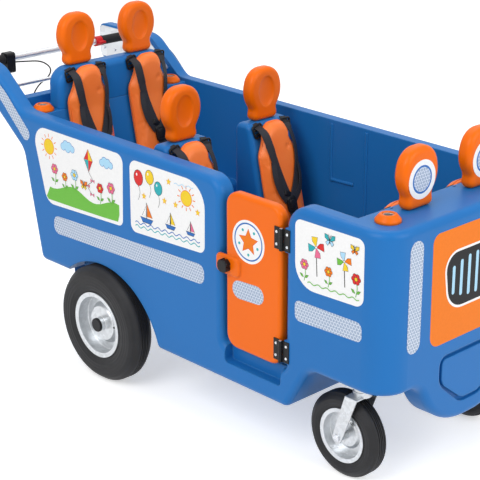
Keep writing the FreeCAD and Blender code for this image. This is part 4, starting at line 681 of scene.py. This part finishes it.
REAR_HUB = (-0.175, 0.194)
dress(tyre_rubber("rear_rubber", REAR_HUB, 0.011), "rear_tyre_")
VALVE_PROFILE = [(0.0045, 0), (0.0042, 0.012), (0.0030, 0.015), (0.0030, 0.021),
                 (0.0038, 0.022), (0.0038, 0.029), (0.0030, 0.031), (0.0003, 0.031)]
VALVE_AHEAD, VALVE_OUT, VALVE_UP = 0.083, 0.366, 0.012
for label, side in SIDES.items():
    foot = (REAR_HUB[0] + VALVE_AHEAD, side * VALVE_OUT, REAR_HUB[1] + VALVE_UP)
    valve = turned(VALVE_PROFILE, foot, (-0.25, side * 1.0, -0.03), 16)
    add_piece(f"valve_{label}", *valve, black_plastic, "black_plastic",
              body=f"rear_wheel_{label}", crease=30)

# Front casters: forks pressed from galvanised plate under a swivel bearing, bolted to the
# tub's floor plates, with the same spun rims and smaller tyres.
FRONT_HUB = (0.807, 0.130)
dress(galvanised, "caster_fork_", "caster_plates")
dress(bright_zinc, "caster_axle_")
dress(tyre_rubber("caster_rubber", FRONT_HUB, 0.009), "caster_tyre_")

# Pictures: thin white films with printed drawings, stuck on both sides and on the door.
# Each colour of a drawing is its own layer of ink over the film and the inks before it.
FILM_THICK, INK_GAP, INK_STEP = 0.0003, 0.00009, 0.000008
SIDE_FACE, NOSE_FACE = 0.37405, 1.02505


def printed(name, colour):
    """Film or ink: a gloss lacquer over a faintly uneven print."""
    finish, tree, shader = new_finish(name)
    speck = node(tree, "TexNoise", Scale=180.0, Detail=3.0).outputs["Fac"]
    laid(tree, speck.node)
    shade = drifting(tree, speck, lit(colour, 0.93), lit(colour, 1.03, 0.004))
    tune(tree, shader, Base_Color=shade, Normal=relief(tree, speck, 0.03, 0.0005),
         Roughness=0.34, Specular_IOR_Level=0.12)
    return finish


INKS = {
    "white": printed("film_white", (0.90, 0.90, 0.90)),
    "black": printed("ink_black", (0.014, 0.014, 0.016)),
    "pink": printed("ink_pink", (0.80, 0.16, 0.30)),
    "yellow": printed("ink_yellow", (0.88, 0.62, 0.03)),
    "teal": printed("ink_teal", (0.03, 0.42, 0.46)),
    "green": printed("ink_green", (0.16, 0.50, 0.06)),
    "red": printed("ink_red", (0.70, 0.03, 0.03)),
    "orange": printed("ink_orange", (0.86, 0.20, 0.01)),
    "blue": printed("ink_blue", (0.03, 0.16, 0.50)),
    "pale": printed("ink_pale_blue", (0.42, 0.70, 0.90)),
}


class Film:
    """A film on a flat face: outline and drawings in the face's own two directions."""

    def __init__(self, name, face, outline, base="white", body="chassis"):
        self.name, self.face, self.body, self.level = name, face, body, 0
        self.points, self.faces, self.inks, self.order = [], [], [], []
        count = len(outline)
        whole = tuple(range(count))
        self.add(outline, [whole], base, FILM_THICK)
        rim = [(i - count, (i + 1) % count - count, (i + 1) % count, i) for i in whole]
        self.add(outline, [whole] + rim, base, 0.0)

    def add(self, points, faces, ink, height):
        """Faces of an ink over points at a height."""
        if ink not in self.order:
            self.order.append(ink)
        start = len(self.points)
        self.points += [self.face(a, b, height) for a, b in points]
        self.faces += [tuple(start + i for i in face) for face in faces]
        self.inks += [self.order.index(ink)] * len(faces)

    def overprint(self, points, faces, ink):
        """Lay an ink over all that is there."""
        self.level += 1
        self.add(points, faces, ink, FILM_THICK + INK_GAP + INK_STEP * self.level)

    def put(self, outline, ink):
        """Fill an outline with an ink."""
        self.overprint(outline, [tuple(range(len(outline)))], ink)

    def stroke(self, line, width, ink, closed=False):
        """Draw a line of an ink."""
        count = len(line)
        sides = [heading(line, i, closed).orthogonal() * (width / 2) for i in range(count)]
        left = [Vector(here) + side for here, side in zip(line, sides)]
        right = [Vector(here) - side for here, side in zip(line, sides)]
        pairs = [(i, (i + 1) % count) for i in range(count if closed else count - 1)]
        self.overprint(left + right, [(i, j, count + j, count + i) for i, j in pairs], ink)

    def shape(self, outline, fill, width=0.0016, line="black"):
        """A filled outline with a drawn edge."""
        self.put(outline, fill)
        self.stroke(outline, width, line, closed=True)

    def finish(self):
        """Make the film a piece that moves with its body."""
        mesh = bpy.data.meshes.new(self.name)
        mesh.from_pydata(self.points, [], self.faces)
        for ink in self.order:
            mesh.materials.append(INKS[ink])
        for polygon, ink in zip(mesh.polygons, self.inks):
            polygon.material_index = ink
        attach(shown(self.name, mesh), self.body)


def side_face(side):
    """Places on a flank: along the bus, up, and out from it."""
    return lambda a, b, out: (a, side * (SIDE_FACE + out), b)


def nose_face(a, b, out):
    """Places on the nose: across it, up, and out from it."""
    return (NOSE_FACE + out, a, b)


def polar(a, b, radius, turn, squash=1.0):
    """The point at a turn round a centre."""
    return (a + radius * math.cos(turn), b + squash * radius * math.sin(turn))


def circle(a, b, radius, count=28, squash=1.0):
    return [polar(a, b, radius, math.tau * i / count, squash) for i in range(count)]


def star(a, b, outer, inner, tips=5):
    return [polar(a, b, (outer, inner)[i % 2], math.pi / 2 + math.pi * i / tips)
            for i in range(2 * tips)]


def sized(a, b, size, outline, flip=1):
    """An outline of unit size, enlarged at a place, mirrored by a flip of -1."""
    return [(a + flip * size * x, b + size * y) for x, y in outline]


def flower(film, a, b, radius, petal):
    """A daisy with a stem and two leaves."""
    stem = [(a, b), (a + 0.3 * radius, b - 1.6 * radius), (a, b - 3.2 * radius)]
    film.stroke(through(stem, 5), 0.0024, "green")
    for flip in (-1, 1):
        leaf = ((0.1, -2.6), (0.5, -2.0), (1.1, -1.9), (0.7, -2.5))
        film.shape(sized(a, b, radius, leaf, flip), "green", 0.0010)
    for i in range(6):
        centre = polar(a, b, 0.62 * radius, math.tau * i / 6)
        film.shape(circle(*centre, 0.42 * radius, 14), petal, 0.0011)
    film.shape(circle(a, b, 0.36 * radius, 14), "yellow", 0.0011)


def butterfly(film, a, b, size, wing, tip):
    upper = ((0.05, 0.0), (0.35, 0.75), (0.95, 0.85), (0.9, 0.25), (0.4, 0.02))
    lower = ((0.05, -0.02), (0.45, -0.05), (0.75, -0.35), (0.4, -0.75), (0.1, -0.35))
    for flip in (-1, 1):
        film.shape(sized(a, b, size, upper, flip), wing, 0.0013)
        film.shape(sized(a, b, size, lower, flip), tip, 0.0013)
        film.stroke(sized(a, b, size, ((0, 0.4), (0.25, 0.85)), flip), 0.0012, "black")
    film.put(circle(a, b, 0.08 * size, 12, squash=5.5), "black")


def cloud(film, a, b, size):
    puffs = [circle(a + x * size, b + y * size, r * size, 20) for x, y, r in
             ((-0.9, 0, 0.45), (-0.35, 0.3, 0.55), (0.35, 0.25, 0.5), (0.9, 0, 0.42),
              (0, -0.08, 0.5))]
    for puff in puffs:
        film.stroke(puff, 0.0030, "blue", closed=True)
    for puff in puffs:
        film.put(puff, "pale")


def sun(film, a, b, radius, rays=12):
    for i in range(rays):
        turn = math.tau * i / rays
        film.stroke([polar(a, b, radius * q, turn) for q in (1.2, 1.65)], 0.0030, "orange")
    film.shape(circle(a, b, radius), "yellow", 0.0020, "orange")


def kite(film, a, b, size):
    film.shape(sized(a, b, size, ((0, 1), (0.6, 0), (0, -1.1), (-0.6, 0))), "red")
    film.put(sized(a, b, size, ((0, 0.95), (0.56, 0), (0, 0))), "yellow")
    film.put(sized(a, b, size, ((0, 0), (0, -1.05), (-0.56, 0))), "teal")
    tail = through(sized(a, b, size, ((0, -1.1), (0.5, -1.8), (-0.2, -2.4), (0.4, -3.1))), 6)
    film.stroke(tail, 0.0016, "black")
    for k in (6, 12, 18):
        for flip in (1, -1):
            bow = sized(*tail[k], 0.001, ((-10, 6), (0, 0), (-10, -6)), flip)
            film.shape(bow, "pink", 0.0009)


def balloon(film, a, b, radius, ink):
    string = sized(a, b, radius, ((0, -1), (0.3, -2.2), (-0.1, -3.4)))
    film.stroke(through(string, 6), 0.0013, "black")
    film.shape(circle(a, b, radius, 26, squash=1.18), ink)
    film.put(sized(a, b, radius, ((-0.14, -1.36), (0.14, -1.36), (0, -1.12))), ink)
    film.put(circle(a - 0.35 * radius, b + 0.45 * radius, 0.16 * radius, 12, squash=1.5),
             "white")


def boat(film, a, b, size, sail):
    hull = ((-1, 0), (1, 0), (0.65, -0.5), (-0.65, -0.5))
    film.shape(sized(a, b, size, hull), "blue")
    film.stroke(sized(a, b, size, ((0, 0), (0, 1.7))), 0.0024, "black")
    film.shape(sized(a, b, size, ((0.08, 0.2), (0.08, 1.6), (0.9, 0.2))), sail)
    film.shape(sized(a, b, size, ((-0.08, 0.2), (-0.08, 1.3), (-0.7, 0.2))), "white")


def wave_line(start, end, height, count):
    steps = count * 8
    return [(start[0] + (end[0] - start[0]) * i / steps,
             start[1] + (end[1] - start[1]) * i / steps + height * math.sin(math.tau * i / 8))
            for i in range(steps + 1)]


def pinwheel(film, a, b, radius, inks):
    film.stroke([(a, b), (a + 0.15 * radius, b - 2.6 * radius)], 0.0030, "black")
    for i, ink in enumerate(inks):
        turn = Matrix.Rotation(math.tau * i / len(inks), 2)
        vane = [turn @ Vector(p) for p in ((0, 0), (0.95, -0.15), (0.85, 0.55), (0.45, 0.45))]
        film.shape(sized(a, b, radius, vane), ink, 0.0013)
    film.shape(circle(a, b, 0.12 * radius, 12), "white", 0.0010)


def draw_meadow(film):
    """A green hill with flowers under a kite."""
    crest = [(-0.077 - i * 0.0188, 0.610 + 0.014 * math.sin(i * 0.55 + 1)) for i in range(20)]
    film.put([(-0.455, 0.560), (-0.445, 0.552), (-0.30, 0.556), (-0.16, 0.561),
              (-0.085, 0.565), (-0.077, 0.59)] + crest, "green")
    sun(film, -0.430, 0.735, 0.026)
    cloud(film, -0.330, 0.752, 0.026)
    cloud(film, -0.135, 0.742, 0.024)
    kite(film, -0.225, 0.735, 0.036)
    for a, b, r, ink in ((-0.405, 0.665, 0.017, "pink"), (-0.352, 0.650, 0.014, "orange"),
                         (-0.300, 0.668, 0.018, "pale"), (-0.170, 0.655, 0.016, "red"),
                         (-0.115, 0.668, 0.018, "pink")):
        flower(film, a, b, r, ink)
    butterfly(film, -0.252, 0.645, 0.018, "orange", "yellow")


def draw_lake(film):
    """Three boats on the water under balloons."""
    for b, ink in ((0, "blue"), (0.012, "teal")):
        film.stroke(wave_line((0.000, 0.588 - b), (0.296, 0.600 - b), 0.004, 9), 0.0030, ink)
    for a, b, size, ink in ((0.055, 0.612, 0.030, "orange"), (0.165, 0.618, 0.024, "yellow"),
                            (0.255, 0.620, 0.020, "pink")):
        boat(film, a, b, size, ink)
    for a, b, r, ink in ((0.020, 0.735, 0.021, "red"), (0.072, 0.748, 0.019, "yellow"),
                         (0.112, 0.722, 0.018, "teal")):
        balloon(film, a, b, r, ink)
    sun(film, 0.238, 0.722, 0.024)
    for a, b in ((0.160, 0.755), (0.190, 0.690), (0.140, 0.690), (0.288, 0.690),
                 (0.045, 0.682)):
        film.shape(star(a, b, 0.011, 0.005), "yellow", 0.0010, "orange")
    film.stroke(wave_line((0.185, 0.755), (0.270, 0.762), 0.003, 3), 0.0020, "pale")


def draw_garden(film):
    """Two pinwheels among flowers."""
    pinwheel(film, 0.765, 0.712, 0.032, ("red", "yellow", "teal", "pink"))
    pinwheel(film, 0.868, 0.700, 0.028, ("orange", "pale", "green", "yellow"))
    for a, b, r, ink in ((0.722, 0.652, 0.015, "pink"), (0.812, 0.655, 0.014, "orange"),
                         (0.912, 0.662, 0.016, "red")):
        flower(film, a, b, r, ink)
    butterfly(film, 0.815, 0.745, 0.020, "teal", "pale")
    butterfly(film, 0.905, 0.742, 0.016, "yellow", "orange")
    film.stroke(wave_line((0.735, 0.602), (0.925, 0.606), 0.003, 6), 0.0026, "green")


WINDOWS = [
    ([(-0.521, 0.793, 0.055), (-0.053, 0.790, 0.030), (-0.062, 0.555, 0.022),
      (-0.453, 0.537, 0.045)], draw_meadow),
    ([(-0.021, 0.786, 0.030), (0.319, 0.785, 0.080), (0.316, 0.568, 0.025),
      (-0.022, 0.552, 0.025)], draw_lake),
    ([(0.685, 0.777, 0.022), (0.938, 0.779, 0.022), (0.940, 0.586, 0.030),
      (0.688, 0.577, 0.070)], draw_garden),
]
for label, side in SIDES.items():
    for number, (corners, draw) in enumerate(WINDOWS, 1):
        film = Film(f"picture_film_{label}_{number}", side_face(side), rounded(corners, 8))
        draw(film)
        film.finish()

DISC_CENTRE, DISC_RADIUS, DISC_RING, DOT_REACH = (0.501, 0.656), 0.065, 0.055, 0.039
disc = Film("door_disc", side_face(-1), circle(*DISC_CENTRE, DISC_RADIUS, 64), body="door")
disc.stroke(circle(*DISC_CENTRE, DISC_RING, 64), 0.0045, "blue", closed=True)
disc.shape(star(*DISC_CENTRE, 0.040, 0.019), "orange", 0.0018, "red")
for i in range(5):
    dot = polar(*DISC_CENTRE, DOT_REACH, math.pi / 2 + math.tau * (i + 0.5) / 5)
    disc.put(circle(*dot, 0.0045, 14), "teal")
disc.finish()

# Inside panels: the tub's inner walls are stiffened by narrow moulded beads that frame two
# shallow panels on the left side, and the smaller one on the door side.
BEAD_WIDTH, BEAD_HEIGHT, BEAD_SUNK, INNER_WALL = 0.013, 0.0045, 0.0005, 0.319
SMALL_PANEL = [(0.176, 0.800), (0.176, 0.625), (0.190, 0.610), (0.276, 0.613)]
LARGE_PANEL = [(0.328, 0.800), (0.328, 0.470), (0.328, 0.400)]


def bead(path, side, sides=7):
    """A half-round bead along a path on an inner wall."""
    line, rings = [Vector((x, 0, z)) for x, z in path], []
    turns = [math.pi * k / (sides - 1) for k in range(sides)]
    for i, here in enumerate(line):
        across = heading(line, i).cross(Vector((0, 1, 0))) * (BEAD_WIDTH / 2)
        rings.append([])
        for turn in turns:
            rise = BEAD_HEIGHT * math.sin(turn) - BEAD_SUNK
            foot = Vector((here.x, side * (INNER_WALL - rise), here.z))
            rings[-1].append(foot + across * math.cos(turn))
    return stacked(rings)


for label, paths in (("left", (SMALL_PANEL, LARGE_PANEL)), ("right", (SMALL_PANEL,))):
    beads = merged(*[bead(through(path, 4), SIDES[label]) for path in paths])
    add_piece(f"wall_beads_{label}", *beads, tub_blue, "tub_plastic", crease=50)

# Nose panel: an orange film on the flat of the nose, with a printed grille of pale bars
# on black inside a white edge.
PANEL_CORNERS = [(-0.197, 0.770, 0.028), (0.197, 0.770, 0.028), (0.193, 0.437, 0.036),
                 (-0.193, 0.437, 0.036)]
GRILLE_CORNERS = [(-0.145, 0.700, 0.050), (0.145, 0.700, 0.050), (0.120, 0.530, 0.070),
                  (-0.120, 0.530, 0.070)]
BARS, BAR_STEP, BAR_MIDDLE, BAR_ROUND = 7, 0.034, 0.616, 0.0058
BAR_WIDE, BAR_TALL, BAR_SHORTER = 0.006, 0.062, 0.0022
panel = Film("nose_panel", nose_face, rounded(PANEL_CORNERS, 8), base="orange")
panel.shape(rounded(GRILLE_CORNERS, 10), "black", 0.0070, "white")
for i in range(BARS):
    place = i - BARS // 2
    tall = BAR_TALL - BAR_SHORTER * place ** 2
    corners = ((-1, -1), (1, -1), (1, 1), (-1, 1))
    panel.put(rounded([(place * BAR_STEP + a * BAR_WIDE, BAR_MIDDLE + b * tall, BAR_ROUND)
                       for a, b in corners], 4), "pale")
panel.finish()

# Reflectors: strips of silver honeycomb film along the flanks, arms, nose and door, and
# round ones in white and blue rings on the front headrests, like lamps.


def honeycomb(name, axes, cell=0.0105):
    """Reflecting film: silver-blue six-sided cells between pale welded lines."""
    finish, tree, shader = new_finish(name)
    glint = node(tree, "TexNoise", Scale=240.0, Detail=2.0)
    split = node(tree, "SeparateXYZ")
    laid(tree, glint, split)
    flat = node(tree, "CombineXYZ", X=split.outputs[axes[0]], Y=split.outputs[axes[1]])

    def vector(operation, *values):
        return maths(tree, operation, *values, kind="VectorMath")

    half = (0.5, math.sqrt(3) / 2, 1)
    spread = vector("MULTIPLY", flat.outputs[0], (1 / cell, 1 / cell, 0))
    cells = []
    for shifted in (spread, vector("ADD", spread, half)):
        inside = vector("ABSOLUTE", vector("WRAP", shifted, half, tuple(-v for v in half)))
        slant = vector("DOT_PRODUCT", inside, (*half[:2], 0))
        across = node(tree, "SeparateXYZ", Vector=inside).outputs["X"]
        cells.append(maths(tree, "MAXIMUM", slant, across))
    weld = node(tree, "MapRange", Value=maths(tree, "MINIMUM", *cells), From_Min=0.38,
                From_Max=0.45).outputs[0]
    silver = drifting(tree, glint.outputs["Fac"], (0.25, 0.33, 0.47), (0.44, 0.53, 0.68))
    tune(tree, shader, Base_Color=drifting(tree, weld, silver, (0.74, 0.79, 0.88)),
         Normal=relief(tree, weld, 0.3, 0.0006), Roughness=0.34, Specular_IOR_Level=0.15)
    return finish


INKS["side_silver"] = honeycomb("side_honeycomb", "XZ")
INKS["nose_silver"] = honeycomb("nose_honeycomb", "YZ")


def band(line, width, steps=8):
    """The outline of a strip with round ends along a line."""
    line = [Vector(p) for p in line]
    left, right = [], []
    for i, here in enumerate(line):
        ahead = heading(line, i)
        side = Vector((-ahead.y, ahead.x)) * width / 2
        left.append(here + side)
        right.append(here - side)

    def cap(centre, start):
        return [centre + Matrix.Rotation(-math.pi * k / steps, 2) @ (start - centre)
                for k in range(1, steps)]

    return left + cap(line[-1], left[-1]) + right[::-1] + cap(line[0], right[0])


STRIPS = {
    "long": rounded([(-0.419, 0.502, 0.025), (0.313, 0.531, 0.025), (0.312, 0.468, 0.025),
                     (-0.424, 0.440, 0.025)], 6),
    "front": rounded([(0.687, 0.537, 0.018), (0.935, 0.541, 0.018), (0.937, 0.484, 0.018),
                      (0.688, 0.475, 0.018)], 6),
    "arm": band(through([(-0.5575, 0.7515), (-0.620, 0.8077), (-0.684, 0.864),
                         (-0.735, 0.885), (-0.800, 0.888), (-0.940, 0.888)], 5), 0.044),
}
NOSE_ACROSS, NOSE_LOW, NOSE_HIGH, NOSE_WIDTH = 0.2635, 0.474, 0.745, 0.054
LAMP_ACROSS, LAMP_UP, LAMP_RADIUS, LAMP_RING, LAMP_GLASS = 0.138, 0.891, 0.0555, 0.0400, 0.0345
for label, side in SIDES.items():
    for part, outline in STRIPS.items():
        Film(f"reflector_{part}_{label}", side_face(side), outline, base="side_silver").finish()
    nose_line = [(side * NOSE_ACROSS, NOSE_LOW), (side * NOSE_ACROSS, NOSE_HIGH)]
    Film(f"reflector_nose_{label}", nose_face, band(nose_line, NOSE_WIDTH),
         base="nose_silver").finish()
    lamp_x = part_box(f"headrest_front_{label}")[1][0] + 0.0001
    place = (side * LAMP_ACROSS, LAMP_UP)
    lens = Film(f"lamp_disc_{label}", lambda a, b, out: (lamp_x + out, a, b),
                circle(*place, LAMP_RADIUS, 64))
    lens.put(circle(*place, LAMP_RING, 48), "blue")
    lens.put(circle(*place, LAMP_GLASS, 48), "nose_silver")
    lens.finish()
Film("reflector_door", side_face(-1), band([(0.4625, 0.4985), (0.5355, 0.5025)], 0.056),
     base="side_silver", body="door").finish()
